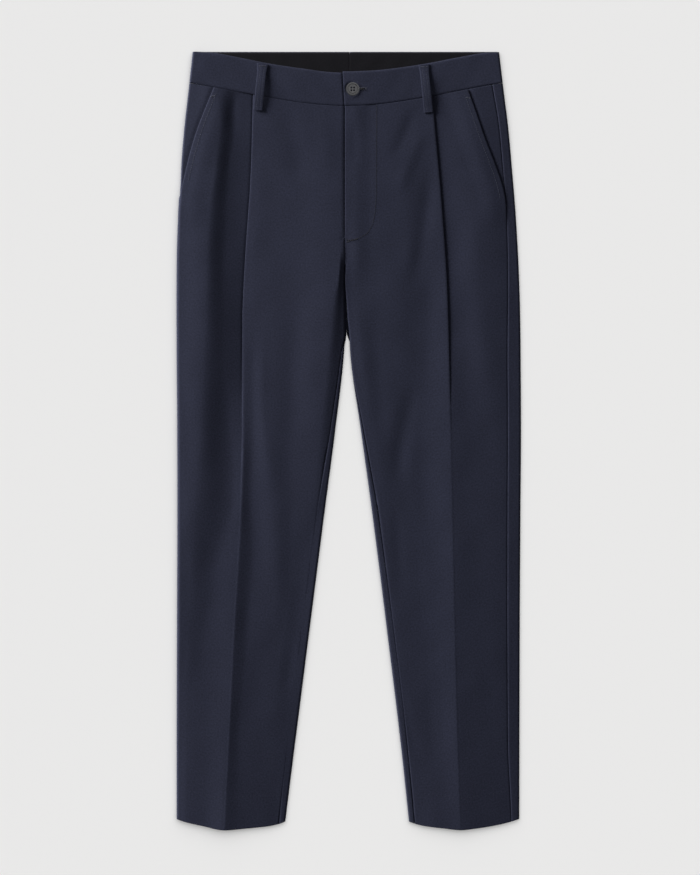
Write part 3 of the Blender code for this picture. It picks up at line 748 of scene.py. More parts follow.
class Bench:
    """A new material, with its shader and short ways to add what the finishes share."""

    def __init__(self, name: str, roughness: float) -> None:
        """Makes the material.

        Args:
            name: the material's name.
            roughness: how much its shader scatters the light, from 0 to 1.
        """
        self.material = bpy.data.materials.new(name)
        self.material.use_nodes = True
        self.nodes = self.material.node_tree.nodes
        self.links = self.material.node_tree.links
        self.shader = self.nodes["Principled BSDF"]
        self.shader.inputs["Roughness"].default_value = roughness

    def noise(self, where: bpy.types.NodeSocket, size: float, detail: float) -> bpy.types.NodeSocket:
        """Adds a noise texture.

        Args:
            where: the coordinates to read it on.
            size: its features' size in metres.
            detail: how many finer layers it has.

        Returns:
            The socket of its values.
        """
        noise = self.nodes.new("ShaderNodeTexNoise")
        noise.inputs["Scale"].default_value = 1 / size
        noise.inputs["Detail"].default_value = detail
        self.links.new(where, noise.inputs["Vector"])
        return noise.outputs["Fac"]

    def multiply_add(
        self, value: bpy.types.NodeSocket, factor: float, addend: float | bpy.types.NodeSocket
    ) -> bpy.types.NodeSocket:
        """Multiplies a value by a factor and adds a number or another value.

        Args:
            value: what to multiply.
            factor: by how much.
            addend: the number, or the socket of the value, to add.

        Returns:
            The socket of the result.
        """
        maths = self.nodes.new("ShaderNodeMath")
        maths.operation = "MULTIPLY_ADD"
        maths.inputs[1].default_value = factor
        self.links.new(value, maths.inputs[0])
        if isinstance(addend, bpy.types.NodeSocket):
            self.links.new(addend, maths.inputs[2])
        else:
            maths.inputs[2].default_value = addend
        return maths.outputs["Value"]

    def raise_surface(self, height: bpy.types.NodeSocket, strength: float, metres: float) -> None:
        """Gives the shader a fine relief.

        Args:
            height: the relief's pattern.
            strength: how much of it is felt.
            metres: how high it stands.
        """
        bump = self.nodes.new("ShaderNodeBump")
        bump.inputs["Strength"].default_value = strength
        bump.inputs["Distance"].default_value = metres
        self.links.new(height, bump.inputs["Height"])
        self.links.new(bump.outputs["Normal"], self.shader.inputs["Normal"])


@dataclass(frozen=True)
class ClothFinish:
    """Woven cloth: a diagonal twill, fibre grain and a faint unevenness of colour."""

    name: str
    slot: str
    colour: tuple[float, float, float]
    roughness: float = 0.85
    sheen: float = 0.02
    specular: float = 0.12
    twill_degrees: float = 63.0
    rib_metres: float = 0.0009
    rib_sway: float = 1.2
    relief_metres: float = 0.00012
    relief_strength: float = 0.5
    fibre_relief: float = 0.6
    fleck_metres: float = 0.0022
    patch_metres: float = 0.040
    mottling: float = 0.09
    grain: float = 0.55

    def build(self) -> bpy.types.Material:
        """Makes the material.

        Returns:
            The material, whose patterns follow the piece's own UV map in metres.
        """
        bench = Bench(self.name, self.roughness)
        nodes, links, shader = bench.nodes, bench.links, bench.shader
        shader.inputs["Sheen Weight"].default_value = self.sheen
        shader.inputs["Specular IOR Level"].default_value = self.specular

        cloth = nodes.new("ShaderNodeUVMap")
        cloth.uv_map = "cloth"
        turned = nodes.new("ShaderNodeMapping")
        turned.inputs["Rotation"].default_value = (0.0, 0.0, math.radians(self.twill_degrees))
        links.new(cloth.outputs["UV"], turned.inputs["Vector"])
        ribs = nodes.new("ShaderNodeTexWave")
        ribs.inputs["Scale"].default_value = math.tau / (20 * self.rib_metres)
        ribs.inputs["Distortion"].default_value = self.rib_sway
        ribs.inputs["Detail"].default_value = 1.0
        links.new(turned.outputs["Vector"], ribs.inputs["Vector"])

        fibres = bench.noise(cloth.outputs["UV"], self.fleck_metres, 2.0)
        patches = bench.noise(cloth.outputs["UV"], self.patch_metres, 3.0)
        level = bench.multiply_add(patches, 2 * self.mottling, 1 - self.mottling - self.grain)
        level = bench.multiply_add(fibres, 2 * self.grain, level)
        tint = nodes.new("ShaderNodeMix")
        tint.data_type = "RGBA"
        tint.blend_type = "MULTIPLY"
        tint.inputs["Factor"].default_value = 1.0
        tint.inputs["A"].default_value = (*self.colour, 1.0)
        links.new(level, tint.inputs["B"])
        links.new(tint.outputs["Result"], shader.inputs["Base Color"])

        surface = bench.multiply_add(fibres, self.fibre_relief, ribs.outputs["Fac"])
        bench.raise_surface(surface, self.relief_strength, self.relief_metres)
        return bench.material


@dataclass(frozen=True)
class HardFinish:
    """A moulded or spun surface: a button's plastic, a sewing thread or a zip's tape."""

    name: str
    slot: str
    colour: tuple[float, float, float]
    roughness: float
    cloud_metres: float
    clouding: float
    cloud_range: Place = (0.3, 0.7)
    relief_metres: float = 0.00002
    relief_strength: float = 0.4

    def build(self) -> bpy.types.Material:
        """Makes the material.

        Returns:
            The material, with clouded colour and a fine relief on Object coordinates.
        """
        bench = Bench(self.name, self.roughness)
        where = bench.nodes.new("ShaderNodeTexCoord")
        cloud = bench.noise(where.outputs["Object"], self.cloud_metres, 3.0)
        ramp = bench.nodes.new("ShaderNodeValToRGB")
        levels = 1 - self.clouding, 1 + self.clouding
        for element, position, level in zip(ramp.color_ramp.elements, self.cloud_range, levels):
            element.position = position
            element.color = (*(part * level for part in self.colour), 1.0)
        bench.links.new(cloud, ramp.inputs["Fac"])
        bench.links.new(ramp.outputs["Color"], bench.shader.inputs["Base Color"])
        bench.raise_surface(cloud, self.relief_strength, self.relief_metres)
        return bench.material


TWILL = ClothFinish("navy_twill_cloth", "navy_twill", (0.0190, 0.0212, 0.0385))
FACING = ClothFinish(
    "black_facing_cloth", "black_facing", (0.0050, 0.0047, 0.0066), rib_metres=0.0006, sheen=0.01
)
THREAD = HardFinish("navy_thread", "navy_twill", (0.032, 0.035, 0.055), 0.8, 0.0006, 0.25)
# Near-black thread: its colour is painted shade. It darkens the fly's stitches and tack as their
# groove's shade would, the button's holes and the buttonhole's opening.
PAINTED_SHADE_THREAD = HardFinish("dark_thread", "navy_twill", (0.004, 0.004, 0.006), 0.9, 0.0006, 0.25)
BUTTON_PLASTIC = HardFinish(
    "grey_button_plastic", "grey_button", (0.050, 0.050, 0.054), 0.5, 0.004, 0.15
)
ZIP_TAPE = HardFinish("zip_tape_cloth", "zip_tape", (0.020, 0.022, 0.030), 0.8, 0.0012, 0.2)


def add_object(name: str, data: bpy.types.ID) -> bpy.types.Object:
    """Adds an object to the scene.

    Args:
        name: the object's name.
        data: its mesh, light or camera.

    Returns:
        The object.
    """
    added = bpy.data.objects.new(name, data)
    bpy.context.scene.collection.objects.link(added)
    return added


def make_object(name: str, shape: bmesh.types.BMesh) -> bpy.types.Object:
    """Makes a bmesh an object of the scene.

    Args:
        name: the object's and the mesh's name.
        shape: the bmesh, which is freed.

    Returns:
        The object.
    """
    mesh = bpy.data.meshes.new(name)
    shape.to_mesh(mesh)
    shape.free()
    return add_object(name, mesh)


@dataclass
class ClothGrid:
    """The points of a piece of cloth, in rows from its upper edge down, in millimetres."""

    name: str
    x: Array
    down: Array
    height: Array
    wall: float
    straight_column: int = 0

    def points(self) -> Array:
        """The grid's points in metres, rows by columns by three."""
        return np.stack([self.x, LENGTH / 2 - self.down, self.height], axis=-1) * MM

    def arcs(self) -> tuple[Array, Array]:
        """Measures the cloth along its rows and along its columns.

        Returns:
            The length from the first column and from the first row at each point, in metres.
        """
        points = self.points()
        across = np.linalg.norm(np.diff(points, axis=1), axis=2)
        along = np.linalg.norm(np.diff(points, axis=0), axis=2)
        u = np.concatenate([np.zeros((len(points), 1)), np.cumsum(across, axis=1)], axis=1)
        v = np.concatenate([np.zeros((1, points.shape[1])), np.cumsum(along, axis=0)])
        return u, v

    def cut(self) -> tuple[float, float, float]:
        """Measures the flat piece.

        Returns:
            Its width, length and area, in metres and square metres.
        """
        u, v = self.arcs()
        points = self.points()
        sides = points[:-1, 1:] - points[1:, :-1], points[1:, 1:] - points[:-1, :-1]
        area = float(np.linalg.norm(np.cross(*sides), axis=2).sum() / 2)
        return float(u[:, -1].max()), float(v[-1].max()), area

    def build(self, material: bpy.types.Material) -> bpy.types.Object:
        """Lays a grid on the points and gives it its wall.

        Args:
            material: what the cloth is made of.

        Returns:
            The piece of cloth.
        """
        rows, columns = self.x.shape
        grid = bmesh.new()
        bmesh.ops.create_grid(grid, x_segments=columns - 1, y_segments=rows - 1, size=1.0)
        piece = make_object(self.name, grid)
        mesh = piece.data
        mesh.vertices.foreach_set("co", self.points().reshape(-1))
        u, v = self.arcs()
        u = u - u[:, self.straight_column : self.straight_column + 1]
        corners = np.empty(len(mesh.loops), int)
        mesh.loops.foreach_get("vertex_index", corners)
        layer = mesh.uv_layers.new(name="cloth")
        layer.data.foreach_set("uv", np.stack([u, -v], axis=-1).reshape(-1, 2)[corners].reshape(-1))
        mesh.shade_smooth()
        mesh.materials.append(material)
        mesh.update()
        wall = piece.modifiers.new("wall", "SOLIDIFY")
        wall.thickness = self.wall * MM
        wall.offset = 0.0
        return piece


@dataclass
class Garment:
    """Everything that is sewn together: lays pieces in place and keeps what they share."""

    materials: dict[str, bpy.types.Material] = field(default_factory=dict)
    pieces: dict[str, bpy.types.Object] = field(default_factory=dict)

    def material(self, finish: ClothFinish | HardFinish) -> bpy.types.Material:
        """Gives a finish's material, which is made once.

        Args:
            finish: the finish.

        Returns:
            Its material.
        """
        if finish.name not in self.materials:
            self.materials[finish.name] = finish.build()
        return self.materials[finish.name]

    def keep(self, piece: bpy.types.Object, finish: ClothFinish | HardFinish) -> None:
        """Puts a finished piece on the garment's body.

        Args:
            piece: the piece.
            finish: what it is made of; not used.
        """
        self.pieces[piece.name] = piece
        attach(piece, "root")

    def lay(self, grid: ClothGrid, node: str, finish: ClothFinish, on: Sequence[str]) -> None:
        """Builds a sheet of cloth in place of a solid and logs its cut.

        Args:
            grid: the cloth's points.
            node: the solid that it stands for.
            finish: what it is made of.
            on: the names of what it lies on; not used.
        """
        piece = grid.build(self.material(finish))
        self.keep(piece, finish)
        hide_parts(node)
        width, length, area = grid.cut()
        share = area / (width * length)
        log.info(
            "%s: cut %.0f x %.0f mm, %.0f%% filled",
            grid.name, width / MM, length / MM, share * 100,
        )

    def surface(self, *names: str) -> list[BVHTree]:
        """The finished surfaces of laid pieces, for sewing on."""
        graph = bpy.context.evaluated_depsgraph_get()
        return [BVHTree.FromObject(self.pieces[name], graph) for name in names]


@dataclass
class LegPanels:
    """The front panel, the back panel and the pocket facing of one leg."""

    leg: Leg
    garment: Garment
    side_steps: tuple[float, ...] = (
        0, 0.5, 1.1, 1.8, 2.6, 3.4, 4.2, 4.9, 5.6, 6.3, 7.0, 7.7, 8.4, 9.1, 9.8, 11, 12.5, 14, 16,
    )
    edge_steps: tuple[float, ...] = (0.5, 1.1, 1.8, 2.6, 4.0)
    outer_columns: int = 46
    turn_columns: int = 7
    inner_columns: int = 50
    rim_width: float = 9.0
    rim_shares: tuple[float, ...] = (
        0, 0.08, 0.16, 0.24, 0.32, 0.4, 0.48, 0.55, 0.62, 0.68, 0.74, 0.8, 0.85, 0.9, 0.95, 1,
    )
    row_spacing: tuple[float, float, float] = (2.3, 3.4, 5.6)
    row_breaks: tuple[float, float] = (165.0, 330.0)
    back_coarsening: float = 1.3
    back_outer_columns: int = 26
    back_middle_columns: int = 16
    back_inner_columns: int = 30
    back_outer_reach: float = 16.0
    back_inner_reach: float = 24.0
    facing_columns: int = 56

    @property
    def crease_column(self) -> int:
        """The front panel's first column past the pleat."""
        return len(self.side_steps) + self.outer_columns + 2 * self.turn_columns

    def rows(self, coarser: float = 1.0, last: float = HEM_ROW) -> Array:
        """Spaces the rows from the waistband's seam down, closer near the top.

        Args:
            coarser: how many times the usual spacing to use.
            last: where to stop.

        Returns:
            The rows' places.
        """
        ends = (SEAM_ROW, *self.row_breaks, HEM_ROW)
        parts = [
            spaced(start, end, spacing * coarser)
            for start, end, spacing in zip(ends, ends[1:], self.row_spacing)
        ]
        near_seam = SEAM_ROW + np.array(self.edge_steps)
        near_hem = HEM_ROW - np.array(self.edge_steps)
        places = np.unique(np.round(np.concatenate([*parts, near_seam, near_hem]), 3))
        return places[places <= last]

    def settle(
        self, section: Section, columns: int, rows: Array, deepest: float = LENGTH
    ) -> tuple[Array, Array, Array]:
        """Bends rows to the seam and hem: each point is where its row crosses its column.

        Args:
            section: gives the laterals and heights of the columns for distances down.
            columns: how many columns the section has.
            rows: the rows' places.
            deepest: how far down the waistband's seam may reach.

        Returns:
            X, distance down and height of every point.
        """
        leg = self.leg
        row = np.repeat(rows[:, None], columns, axis=1)
        lateral, height = section(leg.bent_down(row, section(row)[0], deepest))
        down = leg.bent_down(row, lateral, deepest)
        return leg.sign * lateral, down, height + leg.lift(down)

    def from_seam(self, down: Array, lateral: Array) -> Array:
        """Distance below the waistband's seam."""
        return down - BAND_SEAM.read("down", self.leg.sign * lateral) - DITCH

    def _pleat(self, down: Array) -> tuple[Array, Array]:
        """Follows the pleat: under the fold, back outward, and round the visible edge.

        Args:
            down: distance down the garment, in the pleat's columns.

        Returns:
            The lateral and the height of each point, without the cloth's looseness.
        """
        relief, turns = self.leg.relief, self.turn_columns
        crease = self.leg.crease.read("lateral", down)
        overlap, step, foot = (relief.read(name, down) for name in ("overlap", "step", "foot"))
        turn = np.linspace(-math.pi / 2, math.pi / 2, turns)
        tuck = PLEAT_TURN * (1 - np.cos(turn))
        inner_turn = crease - overlap
        folded = [inner_turn[:, :turns] + tuck, crease[:, turns:] - tuck]
        turned_rise = (1 + np.sin(turn)) / 4
        share = np.linspace(0, 1, 2 * turns)
        open_lateral = mix(inner_turn + PLEAT_TURN, crease - PLEAT_TURN, share)
        closed = ease(overlap, -PLEAT_OPEN_OVER, PLEAT_OPEN_OVER)
        lateral = mix(open_lateral, np.concatenate(folded, axis=1), closed)
        closed_rise = np.concatenate([turned_rise, turned_rise + 0.5])
        return lateral, foot + step * mix(share**PLEAT_OPEN_BEND, closed_rise, closed)

    def front_section(self, down: Array) -> tuple[Array, Array]:
        """Follows the front panel across: pocket edge or side seam, pleat, then inner edge.

        Args:
            down: distance down the garment, in the panel's columns.

        Returns:
            The lateral and the height of each point.
        """
        leg, sides = self.leg, len(self.side_steps)
        outer_end = sides + self.outer_columns
        side, outer, both = down[:, :sides], down[:, sides:outer_end], down[:, :outer_end]
        pleat, inner = down[:, outer_end : self.crease_column], down[:, self.crease_column :]

        steps = np.array(self.side_steps)
        start = leg.side_edge.read("arc", outer)
        side_arc = leg.side_edge.read("arc", side) + steps
        side_lateral, side_height = leg.round_outer_fold(side, side_arc)
        edge_at = leg.round_outer_fold(outer, start)[0]
        last_at = leg.round_outer_fold(outer, start + steps[-1])[0]
        outer_lateral = mix(last_at, leg.foot_at(outer), between(self.outer_columns))
        outer_height = leg.outer_height(outer, outer_lateral)
        pleat_lateral, pleat_height = self._pleat(pleat)
        pleat_height = pleat_height + leg.looseness(pleat, pleat_lateral)

        from_edge = np.concatenate([steps + 0 * side_lateral, edge_at - outer_lateral], axis=1)
        over_pocket = 1 - ease(both, leg.pocket_end, leg.pocket_end + POCKET_RUNOUT)
        on_top = np.ones(from_edge.shape)
        on_top[:, :sides] = facing_up(side_arc, leg.outer_radius(side))
        raised = LAYER * over_pocket * (1 - ease(from_edge, *POCKET_EASE))
        roll = mix(SEAM_ROLL[0], EDGE_ROLL[0], over_pocket), SEAM_ROLL[1]
        before = np.concatenate([side_height, outer_height], axis=1)
        before = before + on_top * (raised - roll_down(from_edge, roll))

        inner_lateral, inner_height = self._front_inner(inner)
        lateral = np.concatenate([side_lateral, outer_lateral, pleat_lateral, inner_lateral], axis=1)
        height = np.concatenate([before, pleat_height, inner_height], axis=1)
        return lateral, height - roll_down(self.from_seam(down, lateral), TOP_ROLL)

    def _front_inner(self, down: Array) -> tuple[Array, Array]:
        """Goes from the pleat to the fly's edge, or over and round the inner fold to the inseam.

        Args:
            down: distance down the garment, in the columns past the pleat.

        Returns:
            The lateral and the height of each point.
        """
        leg, share = self.leg, np.array(self.rim_shares)
        rim, middle = down[:, self.inner_columns :], down[:, : self.inner_columns]
        arc = mix(self.rim_width, leg.inseam.read("arc", rim) + DITCH, share)
        fold_lateral, fold_height = leg.round_inner_fold(rim, arc)
        on_top = facing_up(arc, leg.inner_radius(rim))
        fold_height = fold_height - on_top * roll_down(arc - arc[:, -1:], SEAM_ROLL)

        from_fly = self.rim_width * (1 - share)
        tucked = (1 - ease(rim, *FLY_TUCK_DOWN)) * (not leg.is_left)
        fly_lateral = leg.front_edge - FLY_UNDERLAP * tucked + from_fly
        fly_height = leg.inner_height(rim, fly_lateral) - roll_down(from_fly, EDGE_ROLL)
        below = ease(rim, CROTCH_STARTS_DOWN, CROTCH_DOWN)
        rim_lateral = mix(fly_lateral, fold_lateral, below)
        rim_height = mix(fly_height, fold_height, below)

        crease = leg.crease.read("lateral", middle) - PLEAT_TURN
        middle_lateral = mix(crease, rim_lateral[:, :1], between(self.inner_columns))
        middle_height = leg.inner_height(middle, middle_lateral)
        lateral = np.concatenate([middle_lateral, rim_lateral], axis=1)
        height = np.concatenate([middle_height, rim_height], axis=1)
        from_edge = lateral - leg.front_edge
        if leg.is_left:
            over_fly = 1 - ease(down, FLY_END_DOWN, CROTCH_DOWN)
            return lateral, height + LAYER * over_fly * (1 - ease(from_edge, *FLY_EASE))
        under_fly = 1 - ease(down, FLY_END_DOWN, CROTCH_STARTS_DOWN)
        return lateral, height - FLY_DROP * under_fly * (1 - ease(from_edge, *FLY_DROPS_OVER))

    def front(self) -> ClothGrid:
        """Makes the front panel's cloth.

        Returns:
            Its points.
        """
        columns = self.crease_column + self.inner_columns + len(self.rim_shares)
        x, down, height = self.settle(self.front_section, columns, self.rows())
        name = f"front_{self.leg.name}_cloth"
        return ClothGrid(name, x, down, height, WALL, self.crease_column)

    def back_section(self, down: Array) -> tuple[Array, Array]:
        """Follows the back panel across: from the side seam, under the leg, up to the inseam.

        Args:
            down: distance down the garment, in the panel's columns.

        Returns:
            The lateral and the height of each point.
        """
        leg, outers, inners = self.leg, self.back_outer_columns, self.back_inner_columns
        outer, inner = down[:, :outers], down[:, -inners:]
        ditch = (DITCH - SEAM_GAP) / 2 if leg.is_left else SEAM_GAP
        seam = leg.side_seam.read("arc", outer) - ditch
        from_seam = (seam + self.back_outer_reach) * np.linspace(0, 1, outers)
        outer_lateral, outer_height = leg.round_outer_fold(outer, seam - from_seam)
        outer_height = outer_height - roll_down(from_seam, SEAM_ROLL) * leg.is_left

        inseam = leg.inseam.read("arc", inner)
        arc = mix(-self.back_inner_reach, inseam, np.linspace(0, 1, inners))
        fold_lateral, fold_height = leg.round_inner_fold(inner, arc)
        on_top = facing_up(arc, leg.inner_radius(inner))
        fold_height = fold_height - on_top * roll_down(inseam - arc, SEAM_ROLL)
        bent = ease(inner, *SEAT_SEAM_BENDS_DOWN)
        seat_seam = leg.sign * mix(CENTRE_BACK_X, CROTCH_TIP_X, bent)
        centre_back = seat_seam + mix(SEAM_GAP, SEAT_SEAM_GAP, bent) / 2
        below = ease(inner, *SEAT_ENDS_DOWN)
        inner_lateral = mix(centre_back + inseam - arc, fold_lateral, below)
        inner_height = mix(LYING_HEIGHT, fold_height, below)

        share = between(self.back_middle_columns)
        middle_lateral = mix(outer_lateral[:, -1:], inner_lateral[:, :1], share)
        middle_height = LYING_HEIGHT + 0 * middle_lateral
        lateral = np.concatenate([outer_lateral, middle_lateral, inner_lateral], axis=1)
        return lateral, np.concatenate([outer_height, middle_height, inner_height], axis=1)

    def back(self) -> ClothGrid:
        """Makes the back panel's cloth.

        Returns:
            Its points.
        """
        columns = self.back_outer_columns + self.back_middle_columns + self.back_inner_columns
        rows = self.rows(self.back_coarsening)
        x, down, height = self.settle(self.back_section, columns, rows, BAND_DEPTH_BACK)
        return ClothGrid(f"back_{self.leg.name}_cloth", x, down, height, WALL)

    def facing_section(self, down: Array) -> tuple[Array, Array]:
        """Follows the cloth behind the slant pocket, from the side seam to under the front.

        Args:
            down: distance down the garment, in the facing's columns.

        Returns:
            The lateral and the height of each point.
        """
        leg = self.leg
        slant = leg.side_edge.read("arc", down)
        seam = leg.side_seam.read("arc", down) + SEAM_GAP * leg.is_left
        from_seam = (slant + POCKET_FACING_UNDERLAP - seam) * np.linspace(0, 1, down.shape[1])
        arc = seam + from_seam
        lateral, height = leg.round_outer_fold(down, arc)
        turned = fold_angle(arc, leg.outer_radius(down))
        lateral = lateral - LAYER * np.cos(turned) * ease(down, *POCKET_TUCK_DOWN)
        dip = ridge(arc - slant, POCKET_FACING_DIP) * np.sin(turned).clip(0)
        rolled = roll_down(from_seam, SEAM_ROLL) * leg.is_left
        rolled = rolled + roll_down(self.from_seam(down, lateral), TOP_ROLL)
        return lateral, height - dip - rolled

    def pocket_facing(self) -> ClothGrid:
        """Makes the pocket facing's cloth.

        Returns:
            Its points.
        """
        rows = self.rows(last=self.leg.pocket_end)
        x, down, height = self.settle(self.facing_section, self.facing_columns, rows)
        return ClothGrid(f"pocket_facing_{self.leg.name}_cloth", x, down, height, WALL)

    def build(self) -> None:
        """Lays the leg's three pieces in place of their solids."""
        name, lay = self.leg.name, self.garment.lay
        on_back = [f"back_{name}_cloth"]
        lay(self.back(), f"back_{name}", TWILL, ["belt_loop_back_centre"])
        lay(self.pocket_facing(), f"pocket_facing_{name}", TWILL, on_back)
        lay(self.front(), f"front_{name}", TWILL, on_back)


@dataclass
class Waistband:
    """The waistband halves and the black facing inside the back."""

    garment: Garment
    close_width: float = 44.0
    close_columns: int = 62
    close_steps: tuple[float, ...] = (0.3,)
    front_columns: int = 90
    fold_columns: int = 11
    back_columns: int = 60
    row_spacing: float = 1.1
    row_steps: tuple[float, ...] = (0.3, 0.7)
    broad_wave: float = 0.25
    fine_wave: float = 0.12
    waves_fade: float = 12.0
    facing_spacing: float = 2.4
    facing_steps: tuple[float, ...] = (0.5, 1.1, 1.9, 3.0, 4.5)
    facing_top: float = 1.4
    facing_bottom: float = 40.0
    facing_broad_wave: float = 0.12
    facing_fine_wave: float = 0.08
    facing_waves_down: Place = (2.0, 12.0)
    facing_seam_roll: Place = (0.1, 1.6)
    facing_top_roll: Place = (0.4, 2.0)

    def overlap_x(self, share: Array) -> Array:
        """X of the overlapping half's end, which slants from its upper to its lower corner."""
        return mix(BAND_OVERLAP_X[0], BAND_OVERLAP_X[1], share)

    def half(self, leg: Leg) -> ClothGrid:
        """Makes one half, from the front overlap round the side fold to the centre back seam.

        Args:
            leg: the leg on its side.

        Returns:
            Its points.
        """
        share = spaced(0.0, BAND_DEPTH, self.row_spacing, self.row_steps)[:, None] / BAND_DEPTH
        radius = (BAND_FRONT_HEIGHT - BAND_BACK_HEIGHT) / 2
        corner = leg.outer_line.read("lateral", share * BAND_DEPTH) - BAND_WALL / 2 - radius
        start = self.overlap_x(share) if leg.is_left else -BAND_UNDERLAP_X + 0 * share
        spacing = self.close_width / self.close_columns
        close = start + spaced(0.0, self.close_width, spacing, self.close_steps)
        rest = np.linspace(0, 1, self.front_columns)[1:]
        front = np.concatenate([close, mix(start + self.close_width, corner, rest)], axis=1)
        turn = np.linspace(math.pi / 2, -math.pi / 2, self.fold_columns + 2)[1:-1]
        fold = corner + radius * np.cos(turn)
        end = leg.sign * CENTRE_BACK_X + SEAM_GAP / 2
        back = mix(corner, end, np.linspace(0, 1, self.back_columns))

        lateral = np.concatenate([front, fold, back], axis=1)
        x = leg.sign * lateral
        top, seam = BAND_TOP.read("down", x), BAND_SEAM.read("down", x)
        step = BAND_TOP_LIFT if leg.is_left else -BAND_TOP_DROP
        top = top - step * (1 - ease(lateral, *BAND_TOP_STEP_ENDS))
        top[:, -self.back_columns :] = 0.0
        back_seam = np.minimum(seam[:, -self.back_columns :], BAND_DEPTH_BACK) - BAND_BACK_RISE
        seam[:, -self.back_columns :] = back_seam
        down = top + (seam - top) * share

        front_height = self.front_height(leg, front, share, front - start, corner - front)
        if leg.is_left:
            front_height = front_height + self.button_pull(front, down[:, : front.shape[1]])
        fold_height = BAND_BACK_HEIGHT + radius * (1 + np.sin(turn)) + 0 * share
        height = np.concatenate([front_height, fold_height, BAND_BACK_HEIGHT + 0 * back], axis=1)
        return ClothGrid(f"waistband_{leg.name}_cloth", x, down, height, BAND_WALL)

    def front_height(
        self, leg: Leg, front: Array, share: Array, from_end: Array, from_fold: Array
    ) -> Array:
        """Height of the part of a half that lies in front, without the button's pull.

        Args:
            leg: the leg on its side.
            front: lateral of the points.
            share: how far down the waistband they are, from 0 to 1.
            from_end: their distance from the half's end beside the button.
            from_fold: their distance from the side fold.

        Returns:
            The height of each point.
        """
        over = BAND_LAYER * (1 - ease(front, *BAND_EASE_X)) * leg.is_left
        waves = self.broad_wave * np.sin(front / 19 + 2 * leg.sign) * np.sin(share * 3.1)
        waves = waves + self.fine_wave * np.sin(front / 7.3) * np.sin(share * 5 + front / 31)
        height = BAND_FRONT_HEIGHT + over + waves * ease(from_fold, 0, self.waves_fade)
        height = height - roll_down(from_end, EDGE_ROLL)
        if not leg.is_left:
            height = height - ridge(front + self.overlap_x(share), OVERLAP_GROOVE)
        from_top, from_bottom = share * BAND_DEPTH, (1 - share) * BAND_DEPTH
        return height - roll_down(from_top, BAND_TOP_ROLL) - roll_down(from_bottom, BAND_SEAM_ROLL)

    @staticmethod
    def button_pull(x: Array, down: Array) -> Array:
        """Sinks the cloth at one rim of the button, which is pulled sideways, and lifts the other.

        Args:
            x: the points' X.
            down: their distance down the garment.

        Returns:
            The rise at each point.
        """
        across, along = x - BUTTON_X, down - BUTTON_DOWN
        out = np.hypot(across, along) + 1e-6
        way = (across * BUTTON_PULL_WAY[0] + along * BUTTON_PULL_WAY[1]) / out
        return way * ridge(out - BUTTON_RADIUS, BUTTON_PULL)

    def facing(self, leg: Leg) -> ClothGrid:
        """Makes the black facing inside one half of the back.

        Args:
            leg: the leg on its side.

        Returns:
            Its points.
        """
        start = leg.sign * CENTRE_BACK_X + SEAM_GAP / 2
        end = float(leg.outer_line.read("lateral", 0.0)) - FACING_END_INSET
        lateral = spaced(start, end, self.facing_spacing, self.facing_steps)[None, :]
        downs = spaced(
            self.facing_top, self.facing_bottom, self.facing_spacing, self.facing_steps
        )
        down = downs[:, None] + 0 * lateral
        waves = self.facing_broad_wave * np.sin(lateral / 15) * np.sin(down / 9 + lateral / 40)
        waves = waves + self.facing_fine_wave * np.sin(lateral / 5.1 + down / 7)
        rolled = roll_down(lateral - start, self.facing_seam_roll)
        rolled = rolled + roll_down(down - self.facing_top, self.facing_top_roll)
        height = FACING_HEIGHT + waves * ease(down, *self.facing_waves_down) - rolled
        x = leg.sign * lateral + 0 * down
        return ClothGrid(f"waistband_facing_{leg.name}_cloth", x, down, height, FACING_WALL)

    def build(self) -> None:
        """Lays the halves and the facings in place of their solids."""
        for leg in (RIGHT_LEG, LEFT_LEG):
            name = leg.name
            facing_on = [f"waistband_{name}_cloth"]
            self.garment.lay(self.half(leg), f"waistband_{name}", TWILL, ["belt_loop_back_centre"])
            self.garment.lay(self.facing(leg), f"waistband_facing_{name}", FACING, facing_on)


@dataclass(frozen=True)
class Loop:
    """A belt loop's two ends and how it stands over what it lies on."""

    name: str
    x_top: float
    down_top: float
    x_bottom: float
    down_bottom: float
    base: float
    rise: float
    arch: float
    flare: float = 0.0


